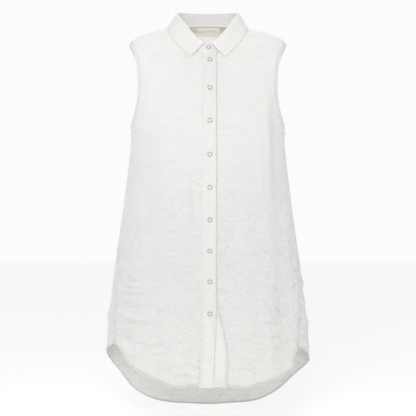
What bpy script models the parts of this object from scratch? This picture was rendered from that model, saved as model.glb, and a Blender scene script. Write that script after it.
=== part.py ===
"""Sleeveless button-up long shirt, filled out as worn and open at neck, armholes and hem.

Every cloth piece is a thin wall. Its points are set on one worn form, a stack of rounded
sections, and are moved out or in along the form's own slope.
Lengths in this file are millimetres until a mesh is made, which is in metres.
+Z is up, the front faces -Y, and the wearer's right side is at -X.
The origin lies midway between the shoulders, level with the neck end of the shoulder seams.
"""
import math
from collections import namedtuple

import bmesh
import bpy
from mathutils import Matrix, Vector

METRES = 0.001
MERGE_DISTANCE = 0.01

# Cloth, seams and layers
CLOTH = 1.2
SEAM_GAP = 0.3
SEAM_SHARE = 0.17
LAYER_GAP = 0.4
RIGHT, LEFT = -1, 1
FRONT, BACK = -1, 1

# Grid of a panel: rows run from the centre line and neckline to the side, armhole and shoulder
SEAM_ROWS = 16
ARMHOLE_ROWS = 12
SHOULDER_ROWS = 6
ROWS = SEAM_ROWS + ARMHOLE_ROWS + SHOULDER_ROWS
NECK_ROWS = 8
CHEST_ROWS = ROWS - SEAM_ROWS - NECK_ROWS
CHEST_HEIGHT = -300
COLUMNS = 16
HEM_ROWS = 8

# Front bands
PLACKET_CENTRE = 5.0
PLACKET_HALF = 15.4
PLACKET_THICK = 1.5
PLACKET_PROUD = 0.5
BAND_HALF = 15.0
BAND_SINK = 1.5
BAND_SINK_ENDS = (24.0, 52.0)
FRONT_HEM = {RIGHT: -886.0, LEFT: -884.0}
FRONT_EDGE = {
    RIGHT: PLACKET_HALF - PLACKET_CENTRE + SEAM_GAP,
    LEFT: BAND_HALF + PLACKET_CENTRE + SEAM_GAP,
}

# Collar
STAND_THICK = 1.4
STAND_LAP = {RIGHT: 0.9, LEFT: -1.0}
STAND_LAP_ENDS = {RIGHT: (11.0, 32.0), LEFT: (20.0, 46.0)}
STAND_ENDS = {RIGHT: 15.0, LEFT: -8.0}
STAND_ROWS = 2
STAND_GAP = 0.65
LEAF_THICK = 1.5
LEAF_LIFT = 2.4
LEAF_COLUMNS = 17

# Armholes
BINDING_WIDTH = 7.0
BINDING_THICK = 1.8
BINDING_PROUD = 0.4

# Neck label and size tab
LABEL_HALF = 29.0
LABEL_TOP, LABEL_LOW = 3.0, -17.0
TAB_SPAN = (16.0, 32.0)
TAB_TOP, TAB_LOW = -3.0, -20.0
LABEL_THICK = 1.0

# Buttons
BUTTON_RADIUS = 5.75
BUTTON_SIDES = 16
BUTTON_PROFILE = ((0.80, 0.0), (1.0, 0.9), (0.93, 2.0), (0.66, 1.5))
COLLAR_BUTTON = (1.6, -61.0)
BUTTON_HEIGHTS = (-94.0, -165.0, -245.0, -326.5, -405.5, -483.5, -558.5, -632.0, -709.0)

Section = namedtuple("Section", "height half_width front back")
FORM = (
    Section(-980, 258, 128, 124),
    Section(-830, 255, 126, 122),
    Section(-775, 252, 125, 121),
    Section(-695, 244, 123, 118),
    Section(-615, 234, 120, 114),
    Section(-535, 223, 117, 110),
    Section(-435, 208, 117, 104),
    Section(-335, 196, 122, 100),
    Section(-285, 191, 125, 100),
    Section(-245, 193, 124, 103),
    Section(-170, 200, 107, 104),
    Section(-110, 205, 82, 95),
    Section(-80, 206, 67, 85),
    Section(-60, 204, 61, 77),
    Section(-46, 199, 58, 70),
    Section(-35, 187, 55, 65),
    Section(-25, 164, 51, 60),
    Section(-15, 131, 46, 56),
    Section(-8, 99, 42, 53),
    Section(-4, 87, 40, 51),
    Section(0, 78, 38, 50),
    Section(12, 66, 36, 46),
)
ROUNDNESS = 2.3

Station = namedtuple("Station", "seam stand_top leaf_edge")
COLLAR = (
    Station((0, -66, -80), (0, -60, -53), (30, -66, -92)),
    Station((8, -66, -79), (8, -60, -52.5), (41, -66, -85.5)),
    Station((22, -64, -72), (21, -57, -45), (50, -63, -78)),
    Station((38, -60, -56), (37, -51, -29), (66, -60, -61)),
    Station((53, -53, -34), (52, -42, -8), (83, -53, -41)),
    Station((66, -40, -15), (65, -28, 12), (95, -35, -22)),
    Station((75, -18, -3), (73, -8, 25), (100, -8, -9)),
    Station((76, 6, 0), (74, 12, 31), (98, 18, -7)),
    Station((68, 27, 3), (67, 31, 34), (84, 40, -8)),
    Station((50, 40, 6), (50, 43, 35), (60, 52, -9)),
    Station((26, 47, 8), (26, 49, 35), (30, 57, -9)),
    Station((0, 49, 8), (0, 51, 34.5), (0, 58.5, -9)),
)
SHOULDER_STATION = 6
ROLL = ((1.0, -0.7), (2.5, -0.4), (3.5, 1.6), (3.1, 3.8), (1.2, 5.6))
LEAF_STEPS = (0.22, 0.48, 0.74, 1.0)

EdgePoint = namedtuple("EdgePoint", "depth height")
ARMHOLE_FRONT = (
    EdgePoint(-14, -46),
    EdgePoint(-30, -64),
    EdgePoint(-45, -98),
    EdgePoint(-58, -140),
    EdgePoint(-64, -176),
    EdgePoint(-60, -208),
    EdgePoint(-46, -236),
    EdgePoint(-22, -251),
    EdgePoint(0, -254),
)
ARMHOLE_BACK = (
    EdgePoint(0, -254),
    EdgePoint(26, -250),
    EdgePoint(50, -233),
    EdgePoint(64, -204),
    EdgePoint(69, -172),
    EdgePoint(64, -132),
    EdgePoint(52, -94),
    EdgePoint(36, -64),
    EdgePoint(14, -47),
    EdgePoint(-14, -46),
)

SIDE_SEAM = (
    EdgePoint(-10, -400),
    EdgePoint(-24, -500),
    EdgePoint(-38, -575),
    EdgePoint(-50, -640),
    EdgePoint(-59, -715),
)
SEAM_END = {RIGHT: EdgePoint(-66, -784), LEFT: EdgePoint(-73, -791)}

HemPoint = namedtuple("HemPoint", "across depth height")
FRONT_HEM_CURVE = {
    RIGHT: (
        HemPoint(-31, -125, -882),
        HemPoint(-75, -122, -888),
        HemPoint(-117, -115, -875),
        HemPoint(-151, -106, -860),
        HemPoint(-184, -94, -841),
        HemPoint(-200, -84, -820),
        HemPoint(-213, -74, -799),
    ),
    LEFT: (
        HemPoint(60, -124, -886),
        HemPoint(90, -121, -888),
        HemPoint(134, -111, -877),
        HemPoint(174, -98, -866),
        HemPoint(193, -88, -856),
        HemPoint(206, -80, -840),
        HemPoint(213, -75, -815),
    ),
}
BACK_HEM = -965.0
BACK_HEM_CURVE = {
    RIGHT: (
        HemPoint(-85, 117, -961),
        HemPoint(-155, 105, -944),
        HemPoint(-199, 88, -910),
        HemPoint(-228, 68, -868),
        HemPoint(-250, 35, -835),
        HemPoint(-255, -5, -808),
        HemPoint(-245, -40, -796),
    ),
    LEFT: (
        HemPoint(97, 116, -959),
        HemPoint(151, 106, -943),
        HemPoint(192, 92, -913),
        HemPoint(226, 66, -875),
        HemPoint(250, 30, -848),
        HemPoint(255, -12, -826),
        HemPoint(238, -50, -806),
    ),
}

# How far each centre front edge swings sideways below the last button
Swing = namedtuple("Swing", "height across")
FRONT_SWING = {
    RIGHT: (Swing(-900, -9), Swing(-820, -5), Swing(-730, 0), Swing(0, 0)),
    LEFT: (
        Swing(-900, 20),
        Swing(-850, 27),
        Swing(-812, 27),
        Swing(-757, 20),
        Swing(-724, 12),
        Swing(-695, 0),
        Swing(0, 0),
    ),
}

# Largest folds: a soft ridge where depth is above zero, a trough where it is below
Fold = namedtuple("Fold", "face top_across top low_across low half_width depth fade")
FOLDS = (
    Fold(FRONT, -27, -270, -25, -720, 15, -4.0, 90),
    Fold(FRONT, -62, -330, -70, -890, 26, 3.5, 140),
    Fold(FRONT, -118, -400, -128, -880, 20, -4.5, 160),
    Fold(FRONT, -160, -300, -176, -840, 16, 4.0, 150),
    Fold(FRONT, 52, -420, 58, -890, 20, -4.0, 150),
    Fold(FRONT, 96, -380, 106, -880, 24, 4.0, 150),
    Fold(FRONT, 139, -150, 152, -860, 15, 5.0, 110),
    Fold(FRONT, 165, -160, 187, -840, 13, -5.0, 110),
    Fold(BACK, -150, -230, -178, -900, 24, 5.0, 150),
    Fold(BACK, -96, -260, -118, -950, 24, -5.0, 150),
    Fold(BACK, -42, -200, -52, -960, 26, 5.0, 180),
    Fold(BACK, 8, -240, 12, -970, 20, -4.5, 180),
    Fold(BACK, 58, -210, 70, -960, 26, 4.5, 180),
    Fold(BACK, 108, -260, 130, -940, 22, -5.0, 150),
    Fold(BACK, 156, -240, 186, -890, 22, 4.5, 150),
)
FOLD_TURN = 24.0

# Colours of the finishes: red, green, blue, roughness
LINEN = (0.84, 0.83, 0.81, 0.9)
LINEN_BACK = (0.80, 0.79, 0.76, 0.9)
LINEN_TRIM = (0.82, 0.81, 0.78, 0.9)
LABEL_COLOUR = (0.78, 0.72, 0.60, 0.8)
PEARL = (0.72, 0.70, 0.67, 0.35)


def mix(first, second, share):
    """Point or number between two others."""
    return first + (second - first) * share


def ease(share):
    """Soft step from 0 to 1."""
    share = min(max(share, 0.0), 1.0)
    return share * share * (3.0 - 2.0 * share)


class SmoothTable:
    """Smooth line through a table's values that never swings past them."""

    def __init__(self, places, values):
        self.places = places
        self.values = values
        gaps = [b - a for a, b in zip(places, places[1:])]
        rises = [(b - a) / gap for a, b, gap in zip(values, values[1:], gaps)]
        inner = [self.knot_slope(rises[k], rises[k + 1]) for k in range(len(rises) - 1)]
        self.slopes = [rises[0]] + inner + [rises[-1]]

    @staticmethod
    def knot_slope(before, after):
        """Slope at a knot: none where the line turns, else a mean that keeps to the lesser."""
        if before * after <= 0.0:
            return 0.0
        return 2.0 * before * after / (before + after)

    def __call__(self, place):
        place = min(max(place, self.places[0]), self.places[-1])
        k = 0
        while k < len(self.places) - 2 and place > self.places[k + 1]:
            k += 1
        gap = self.places[k + 1] - self.places[k]
        t = (place - self.places[k]) / gap
        start = (1 + 2 * t) * (1 - t) ** 2 * self.values[k]
        start_slope = t * (1 - t) ** 2 * gap * self.slopes[k]
        end = t * t * (3 - 2 * t) * self.values[k + 1]
        end_slope = t * t * (t - 1) * gap * self.slopes[k + 1]
        return start + start_slope + end + end_slope


FORM_HEIGHTS = [section.height for section in FORM]
half_width_at = SmoothTable(FORM_HEIGHTS, [section.half_width for section in FORM])
front_depth_at = SmoothTable(FORM_HEIGHTS, [section.front for section in FORM])
back_depth_at = SmoothTable(FORM_HEIGHTS, [section.back for section in FORM])
swing_at = {
    side: SmoothTable([row.height for row in rows], [row.across for row in rows])
    for side, rows in FRONT_SWING.items()
}


def depth_at(height, face):
    """Depth of the form's front or back at a height."""
    return front_depth_at(height) if face == FRONT else back_depth_at(height)


def form_level(point):
    """1 on the form, less inside it and more outside."""
    depth = depth_at(point.z, FRONT if point.y < 0 else BACK)
    across = (abs(point.x) / half_width_at(point.z)) ** ROUNDNESS
    along = (abs(point.y) / depth) ** ROUNDNESS
    return (across + along) ** (1.0 / ROUNDNESS)


def form_slope(point):
    """How the level changes along each axis."""
    step = 0.05
    axes = (Vector((step, 0, 0)), Vector((0, step, 0)), Vector((0, 0, step)))
    return Vector([(form_level(point + a) - form_level(point - a)) / (2 * step) for a in axes])


def seat(point):
    """Nearest place on the form, found by walking down its slope."""
    point = Vector(point)
    for _ in range(8):
        slope = form_slope(point)
        point = point - slope * ((form_level(point) - 1.0) / slope.length_squared)
    return point


def outward(point):
    """Direction straight out of the form."""
    return form_slope(point).normalized()


def face_point(across, height, face):
    """Point on the form's front or back at a place seen from the front."""
    share = (abs(across) / half_width_at(height)) ** ROUNDNESS
    depth = depth_at(height, face) * max(1.0 - share, 0.0) ** (1.0 / ROUNDNESS)
    return Vector((across, face * depth, height))


def side_point(side, depth, height):
    """Point on the form's side at a place seen from the side."""
    face = FRONT if depth < 0 else BACK
    share = (abs(depth) / depth_at(height, face)) ** ROUNDNESS
    across = half_width_at(height) * max(1.0 - share, 0.0) ** (1.0 / ROUNDNESS)
    return Vector((side * across, depth, height))


def fold_depth(point):
    """How far the folds move the cloth out at a point of the form."""
    total = 0.0
    for fold in FOLDS:
        if not fold.low - fold.fade < point.z < fold.top:
            continue
        along = (fold.top - point.z) / (fold.top - fold.low)
        centre = mix(fold.top_across, fold.low_across, along)
        spread = math.exp(-((point.x - centre) / fold.half_width) ** 2)
        turned = ease(fold.face * point.y / FOLD_TURN)
        total += fold.depth * spread * turned * ease((fold.top - point.z) / fold.fade)
    return total


def layer(point, lift=0.0):
    """Point of the folded cloth above a point of the form."""
    return point + outward(point) * (fold_depth(point) + lift)


def spline(points, steps=10):
    """Smooth dense line through a few points."""
    points = [Vector(p) for p in points]
    before = [points[0] * 2 - points[1]] + points + [points[-1] * 2 - points[-2]]
    dense = []
    for a, b, c, d in zip(before, before[1:], before[2:], before[3:]):
        for k in range(steps):
            t = k / steps
            bend = a * 2 - b * 5 + c * 4 - d
            lift = b * 3 - a - c * 3 + d
            dense.append((b * 2 + (c - a) * t + bend * t * t + lift * t ** 3) * 0.5)
    return dense + [points[-1]]


def spread(dense, count):
    """Points at equal steps along a dense line, ends included."""
    lengths = [0.0]
    for a, b in zip(dense, dense[1:]):
        lengths.append(lengths[-1] + (b - a).length)
    result, k = [], 0
    for n in range(count + 1):
        target = lengths[-1] * n / count
        while k < len(dense) - 2 and lengths[k + 1] < target:
            k += 1
        share = (target - lengths[k]) / max(lengths[k + 1] - lengths[k], 1e-9)
        result.append(mix(dense[k], dense[k + 1], min(max(share, 0.0), 1.0)))
    return result


def form_curve(points, count):
    """Equal steps along a smooth line that lies on the form."""
    dense = [seat(p) for p in spline(points)]
    return [seat(p) for p in spread(dense, count)]


def collar_line(column, place):
    """Smooth value of one column of the collar table at a place between its rows."""
    last = len(COLLAR) - 1
    k = min(int(place), last - 1)
    t = place - k
    rows = [min(max(k + n, 0), last) for n in (-1, 0, 1, 2)]
    a, b, c, d = [Vector(getattr(COLLAR[row], column)) for row in rows]
    bend = a * 2 - b * 5 + c * 4 - d
    lift = b * 3 - a - c * 3 + d
    return (b * 2 + (c - a) * t + bend * t * t + lift * t ** 3) * 0.5


def seam_point(place, side):
    """Point of the neck seam on the form."""
    point = collar_line("seam", place)
    return seat(Vector((side * point.x, point.y, point.z)))


def collar_place(across):
    """Place in the collar table whose neck seam lies this far from the middle."""
    low, high = 0.0, float(SHOULDER_STATION)
    for _ in range(40):
        middle = (low + high) / 2
        if seam_point(middle, LEFT).x < across:
            low = middle
        else:
            high = middle
    return (low + high) / 2


def even_places(start, end, side, count):
    """Places in the collar table at equal steps along the neck seam."""
    fine = [mix(start, end, n / 60) for n in range(61)]
    lengths = [0.0]
    for a, b in zip(fine, fine[1:]):
        lengths.append(lengths[-1] + (seam_point(b, side) - seam_point(a, side)).length)
    table = SmoothTable(lengths, fine)
    return [table(lengths[-1] * n / count) for n in range(count + 1)]


def centre_heights(low, top):
    """Heights of a panel's rows along a centre line, closer above the chest."""
    below = [mix(low, CHEST_HEIGHT, n / SEAM_ROWS) for n in range(SEAM_ROWS)]
    return below + [mix(CHEST_HEIGHT, top, n / CHEST_ROWS) for n in range(CHEST_ROWS + 1)]


def front_line(across, side):
    """Line down a front, a set way from the middle, that swings with its own band."""
    place = collar_place(abs(across)) if abs(across) > 0.5 else 0.0
    heights = centre_heights(FRONT_HEM[side], seam_point(place, side).z)
    return [face_point(across + swing_at[side](h), h, FRONT) for h in heights]


def to_flat(point):
    """Turn round the form from the centre front, and height, of a point on it."""
    face = FRONT if point.y < 0 else BACK
    across = (abs(point.x) / half_width_at(point.z)) ** (ROUNDNESS / 2)
    along = (abs(point.y) / depth_at(point.z, face)) ** (ROUNDNESS / 2)
    return Vector((math.atan2(across, -face * along), point.z))


def on_form(flat, side):
    """Point of the form at a turn and a height."""
    turn, height = flat
    face = FRONT if math.cos(turn) > 0 else BACK
    across = half_width_at(height) * abs(math.sin(turn)) ** (2 / ROUNDNESS)
    along = depth_at(height, face) * abs(math.cos(turn)) ** (2 / ROUNDNESS)
    return Vector((side * across, face * along, height))


def loft(centre, side_line, hem, side):
    """Grid of form points between a centre line and a side line, above a hem line."""
    left = [to_flat(p) for p in centre]
    right = [to_flat(p) for p in side_line]
    low = [to_flat(p) for p in hem]
    grid = []
    for j, (start, end) in enumerate(zip(left, right)):
        fade = max(1.0 - j / HEM_ROWS, 0.0) ** 1.5
        line = []
        for i in range(COLUMNS + 1):
            share = i / COLUMNS
            bow = (low[i] - mix(left[0], right[0], share)) * fade
            line.append(on_form(mix(start, end, share) + bow, side))
        grid.append(line)
    return grid


class Armhole:
    """Edge line of one armhole and the seam line where its binding meets the panels."""

    def __init__(self, side):
        front = self.half(side, ARMHOLE_FRONT)
        back = self.half(side, ARMHOLE_BACK)
        self.edge = front + back[1:-1]
        self.seam = [self.seam_beside(k) for k in range(len(self.edge))]
        self.front_seam = self.seam[:ARMHOLE_ROWS + 1]
        self.back_seam = self.seam[ARMHOLE_ROWS:] + self.seam[:1]

    @staticmethod
    def half(side, table):
        """Even steps along the front or back half of the edge."""
        dense = spline([(side * 200, row.depth, row.height) for row in table])
        points = spread([side_point(side, p.y, p.z) for p in dense], ARMHOLE_ROWS)
        return [side_point(side, p.y, p.z) for p in points]

    def seam_beside(self, k):
        """Point of the seam line a binding's width away from an edge point."""
        here = self.edge[k]
        along = self.edge[(k + 1) % len(self.edge)] - self.edge[k - 1]
        middle = sum(self.edge, Vector()) / len(self.edge)
        away = outward(here).cross(along).normalized()
        if away.dot(here - middle) < 0:
            away = -away
        return seat(here + away * BINDING_WIDTH)


def band_sink(point, side):
    """How deep the left front sinks where it passes under the placket."""
    if side == RIGHT or point.y > 0:
        return 0.0
    near, far = BAND_SINK_ENDS
    across = point.x - swing_at[LEFT](point.z)
    return BAND_SINK * ease((far - across) / (far - near))


def panel_half(side, face, armhole, shoulder):
    """Grid of form points of one front, or of half the back."""
    middle = float(len(COLLAR) - 1)
    if face == FRONT:
        centre = front_line(side * FRONT_EDGE[side], side)
        places = even_places(collar_place(FRONT_EDGE[side]), SHOULDER_STATION, side, NECK_ROWS)
        hem_rows = FRONT_HEM_CURVE[side]
        armhole_seam = armhole.front_seam[::-1]
    else:
        heights = centre_heights(BACK_HEM, seam_point(middle, side).z)
        centre = [face_point(0.0, h, BACK) for h in heights]
        places = even_places(middle, SHOULDER_STATION, side, NECK_ROWS)
        hem_rows = BACK_HEM_CURVE[side]
        armhole_seam = armhole.back_seam
    seam_end = side_point(side, *SEAM_END[side])
    hem = form_curve([centre[0]] + [Vector(row) for row in hem_rows] + [seam_end], COLUMNS)
    seam_rows = [side_point(side, *row) for row in SIDE_SEAM]
    side_seam = form_curve([armhole_seam[0]] + seam_rows + [seam_end], SEAM_ROWS)
    side_line = side_seam[::-1] + armhole_seam[1:] + shoulder[-2::-1]
    neckline = [seam_point(place, side) for place in places]
    return loft(centre + neckline[1:], side_line, hem, side)


def shoulder_seam(side, armhole):
    """Shoulder seam from the neck to the binding."""
    neck = seam_point(SHOULDER_STATION, side)
    return form_curve([neck, armhole.front_seam[0]], SHOULDER_ROWS)


def draw_back_side(outer, inner, column, beside):
    """Open half a seam gap along a half panel's side seam, armhole and shoulder."""
    points = [line[column] for line in outer]
    last = len(points) - 1
    inside = outer[0][beside] - points[0]
    turn = 1.0 if outward(points[0]).cross(points[1] - points[0]).dot(inside) > 0 else -1.0
    for k, point in enumerate(points):
        ahead = (points[min(k + 1, last)] - point).normalized()
        behind = (point - points[max(k - 1, 0)]).normalized()
        along = ahead + behind
        mitre = min(2.0 / along.length, 1.5) if 0 < k < last else 1.0
        step = outward(point).cross(along).normalized() * (turn * mitre * SEAM_SHARE)
        outer[k][column] = point + step
        inner[k][column] = inner[k][column] + step


def close_neck_corner(outer, inner, column, columns):
    """Bring a half panel's last row together at the neck end of the shoulder."""
    for i in columns:
        outer[-1][i] = outer[-1][column]
        inner[-1][i] = inner[-1][column]


def sheets(grid, high, low, sink=None):
    """Outer and inner points of a wall above a grid of form points."""
    outer, inner = [], []
    for line in grid:
        sinks = [sink(p) if sink else 0.0 for p in line]
        outer.append([layer(p, high - s) for p, s in zip(line, sinks)])
        inner.append([layer(p, low - s) for p, s in zip(line, sinks)])
    return outer, inner


def material(name, colour):
    """Plain finish of one piece."""
    finish = bpy.data.materials.new(name)
    finish.use_nodes = True
    shader = finish.node_tree.nodes["Principled BSDF"]
    shader.inputs["Base Color"].default_value = (*colour[:3], 1.0)
    shader.inputs["Roughness"].default_value = colour[3]
    return finish


def add_object(name, mesh_maker, colour):
    """New object in metres from a bmesh in millimetres."""
    bmesh.ops.scale(mesh_maker, vec=(METRES,) * 3, verts=mesh_maker.verts)
    bmesh.ops.recalc_face_normals(mesh_maker, faces=mesh_maker.faces)
    mesh = bpy.data.meshes.new(name)
    mesh_maker.to_mesh(mesh)
    mesh_maker.free()
    mesh.shade_smooth()
    mesh.set_sharp_from_angle(angle=math.radians(40))
    mesh.materials.append(material(name + "_finish", colour))
    piece = bpy.data.objects.new(name, mesh)
    bpy.context.scene.collection.objects.link(piece)
    return piece


def wall(name, halves, colour, closed=False, joined_rows=0):
    """Closed wall between outer and inner grids, whose first rows may join along column 0."""
    shape = bmesh.new()
    for outer, inner in halves:
        out = [[shape.verts.new(p) for p in line] for line in outer]
        ins = [[shape.verts.new(p) for p in line] for line in inner]
        rows, columns = len(out), len(out[0])
        for j in range(rows if closed else rows - 1):
            up = (j + 1) % rows
            for i in range(columns - 1):
                shape.faces.new((out[j][i], out[j][i + 1], out[up][i + 1], out[up][i]))
                shape.faces.new((ins[j][i], ins[up][i], ins[up][i + 1], ins[j][i + 1]))
            for i in (0, columns - 1):
                if i > 0 or j >= joined_rows:
                    shape.faces.new((out[j][i], out[up][i], ins[up][i], ins[j][i]))
        for j in () if closed else (0, rows - 1):
            for i in range(columns - 1):
                shape.faces.new((out[j][i], out[j][i + 1], ins[j][i + 1], ins[j][i]))
    bmesh.ops.triangulate(shape, faces=shape.faces, quad_method="FIXED")
    bmesh.ops.remove_doubles(shape, verts=shape.verts, dist=MERGE_DISTANCE)
    return add_object(name, shape, colour)


def build_front(side, armhole, shoulder):
    """One front panel."""
    grid = panel_half(side, FRONT, armhole, shoulder)
    outer, inner = sheets(grid, 0.0, -CLOTH, lambda p: band_sink(p, side))
    draw_back_side(outer, inner, COLUMNS, COLUMNS - 1)
    close_neck_corner(outer, inner, COLUMNS, range(COLUMNS))
    name = "front_right" if side == RIGHT else "front_left"
    wall(name, [(outer, inner)], LINEN)


def build_back(armholes, shoulders):
    """Back panel: two half grids that share the centre back."""
    halves = []
    for side in (RIGHT, LEFT):
        grid = panel_half(side, BACK, armholes[side], shoulders[side])
        outer, inner = sheets(grid, 0.0, -CLOTH)
        draw_back_side(outer, inner, COLUMNS, COLUMNS - 1)
        close_neck_corner(outer, inner, COLUMNS, range(COLUMNS))
        halves.append((outer, inner))
    wall("back", halves, LINEN_BACK, joined_rows=SEAM_ROWS + CHEST_ROWS)


def build_placket():
    """Top band of the right front, a little proud of the panel."""
    shares = (-1.0, -0.35, 0.35, 1.0)
    lines = [front_line(PLACKET_CENTRE + PLACKET_HALF * s, RIGHT) for s in shares]
    grid = [list(row) for row in zip(*lines)]
    outer, inner = sheets(grid, PLACKET_PROUD, PLACKET_PROUD - PLACKET_THICK)
    wall("placket", [(outer, inner)], LINEN_TRIM)
    return outer


def build_button_band():
    """Under band of the left front."""
    shares = (-1.0, 0.0, 1.0)
    lines = [front_line(PLACKET_CENTRE + BAND_HALF * s, LEFT) for s in shares]
    grid = [list(row) for row in zip(*lines)]
    outer, inner = sheets(grid, -BAND_SINK, -BAND_SINK - CLOTH)
    wall("button_band", [(outer, inner)], LINEN_TRIM)


class StandRing:
    """Neck ring as a list of seam points, stand tops and laps, one for each step."""

    def __init__(self):
        last = len(COLLAR) - 1
        self.steps = []
        for across in (STAND_ENDS[LEFT], PLACKET_CENTRE):
            self.add_across(across, LEFT)
        fronts = {side: collar_place(FRONT_EDGE[side]) for side in (LEFT, RIGHT)}
        for place in even_places(fronts[LEFT], SHOULDER_STATION, LEFT, NECK_ROWS):
            self.add(place, LEFT, LEFT)
        for place in even_places(last, SHOULDER_STATION, LEFT, NECK_ROWS)[-2::-1]:
            self.add(place, LEFT, LEFT)
        for place in even_places(last, SHOULDER_STATION, RIGHT, NECK_ROWS)[1:]:
            self.add(place, RIGHT, RIGHT)
        for place in even_places(fronts[RIGHT], SHOULDER_STATION, RIGHT, NECK_ROWS)[-2::-1]:
            self.add(place, RIGHT, RIGHT)
        for across in (PLACKET_CENTRE - 3.0, STAND_ENDS[RIGHT]):
            self.add_across(across, RIGHT)

    def add_across(self, across, lap_side):
        """Step at a place in the lap, seen from the front."""
        side = RIGHT if across < 0 else LEFT
        self.add(collar_place(abs(across)), side, lap_side)

    def add(self, place, side, lap_side):
        """Step at a place of the collar table."""
        seam = seam_point(place, side)
        top = collar_line("stand_top", place)
        top = Vector((side * top.x, top.y, top.z))
        across = -lap_side * seam.x
        near, far = STAND_LAP_ENDS[lap_side]
        in_front = ease(-seam.y / 30.0)
        lap = STAND_LAP[lap_side] * ease((far + across) / (far - near)) * in_front
        self.steps.append((seam, top, lap))


def ring_out(points, k, up):
    """Direction out of the neck ring at one step."""
    ahead = points[min(k + 1, len(points) - 1)]
    behind = points[max(k - 1, 0)]
    out = up.cross(ahead - behind).normalized()
    return out if out.dot(points[k] - Vector((0, 0, points[k].z))) > 0 else -out


def build_stand(ring):
    """Neck band whose ends lap at the centre front."""
    seams = [seam for seam, _, _ in ring.steps]
    outer, inner = [], []
    for k, (seam, top, lap) in enumerate(ring.steps):
        up = (top - seam).normalized()
        out = ring_out(seams, k, up)
        base = seam + up * STAND_GAP + out * lap
        line = [mix(base, top + out * lap, n / STAND_ROWS) for n in range(STAND_ROWS + 1)]
        outer.append(line)
        inner.append([p - out * STAND_THICK for p in line])
    wall("collar_stand", [(outer, inner)], LINEN_TRIM)


def leaf_column(place, side):
    """Line across the collar leaf, from the stand's top over the roll to the outer edge."""
    def at(column, where):
        point = collar_line(column, where)
        return Vector((side * point.x, point.y, point.z))

    last = float(len(COLLAR) - 1)
    top = at("stand_top", place)
    up = (top - at("seam", place)).normalized()
    along = at("stand_top", min(place + 0.1, last)) - at("stand_top", max(place - 0.1, 1.0))
    if place > last - 0.05:
        along = Vector((-side, 0, 0))
    out = up.cross(along).normalized()
    if out.dot(Vector((top.x, top.y, 0))) < 0:
        out = -out
    line = [top + up * rise + out * reach for rise, reach in ROLL]
    edge = seat(at("leaf_edge", place))
    edge = edge + outward(edge) * LEAF_LIFT
    line += [mix(line[-1], edge, share) for share in LEAF_STEPS]
    return [clear_of_form(p) for p in line]


def clear_of_form(point):
    """Same point, or the nearest one that lies the leaf's lift above the cloth."""
    surface = seat(point)
    normal = outward(surface)
    height = (point - surface).dot(normal)
    if height >= LEAF_LIFT or point.z > surface.z + 12:
        return point
    return surface + normal * LEAF_LIFT


def build_fall():
    """Turned-down leaf of the collar."""
    last = len(COLLAR) - 1
    left = [leaf_column(p, LEFT) for p in even_places(1, last, LEFT, LEAF_COLUMNS)]
    right = [leaf_column(p, RIGHT) for p in even_places(last, 1, RIGHT, LEAF_COLUMNS)[1:]]
    grid = left + right
    outer, inner = [], []
    for j, line in enumerate(grid):
        normals = [grid_normal(grid, j, i) for i in range(len(line))]
        outer.append([p + n * (LEAF_THICK / 2) for p, n in zip(line, normals)])
        inner.append([p - n * (LEAF_THICK / 2) for p, n in zip(line, normals)])
    wall("collar_fall", [(outer, inner)], LINEN_TRIM)


def grid_normal(grid, j, i):
    """Direction square to a grid at one of its points."""
    rows, columns = len(grid) - 1, len(grid[0]) - 1
    along = grid[min(j + 1, rows)][i] - grid[max(j - 1, 0)][i]
    across = grid[j][min(i + 1, columns)] - grid[j][max(i - 1, 0)]
    return along.cross(across).normalized()


def build_binding(side, armhole):
    """Narrow band round one armhole."""
    high, low = BINDING_PROUD, BINDING_PROUD - BINDING_THICK
    outer, inner = [], []
    for edge, seam in zip(armhole.edge, armhole.seam):
        step = (edge - seam).normalized() * SEAM_SHARE
        outer.append([layer(edge, high), layer(seam, high) + step])
        inner.append([layer(edge, low), layer(seam, low) + step])
    name = "armhole_binding_right" if side == RIGHT else "armhole_binding_left"
    wall(name, [(outer, inner)], LINEN_TRIM, closed=True)


def build_label(name, span, top, low, depth):
    """Flat label inside the back neck, a set depth inside the form."""
    across = [mix(span[0], span[1], n / 6) for n in range(7)]
    heights = [mix(top, low, n / 3) for n in range(4)]
    grid = [[face_point(x, h, BACK) for x in across] for h in heights]
    outer, inner = sheets(grid, -depth, -depth - LABEL_THICK)
    wall(name, [(outer, inner)], LABEL_COLOUR)


def build_button(name, place, out):
    """Dished button, turned about its axis and set square on the cloth."""
    shape = bmesh.new()
    profile = [shape.verts.new((r * BUTTON_RADIUS, 0, z)) for r, z in BUTTON_PROFILE]
    edges = [shape.edges.new(pair) for pair in zip(profile, profile[1:])]
    bmesh.ops.spin(shape, geom=profile + edges, axis=(0, 0, 1), cent=(0, 0, 0),
                   angle=2 * math.pi, steps=BUTTON_SIDES, use_merge=True)
    bmesh.ops.remove_doubles(shape, verts=shape.verts, dist=1e-4)
    rims = [e for e in shape.edges if e.is_boundary]
    bmesh.ops.holes_fill(shape, edges=rims, sides=BUTTON_SIDES)
    turn = out.to_track_quat("Z", "Y").to_matrix().to_4x4()
    bmesh.ops.transform(shape, matrix=Matrix.Translation(place) @ turn, verts=shape.verts)
    add_object(name, shape, PEARL)


def spot_on_band(band, height):
    """Place at a height on the middle of a band's face, and the way that face looks."""
    j = max(k for k in range(len(band) - 1) if band[k][1].z <= height)
    low, high = band[j], band[j + 1]
    share = (height - low[1].z) / (high[1].z - low[1].z)
    spot = mix(mix(low[1], low[2], 0.5), mix(high[1], high[2], 0.5), share)
    out = (low[2] - low[1]).cross(high[1] - low[1]).normalized()
    return spot, out if out.y < 0 else -out


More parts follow.
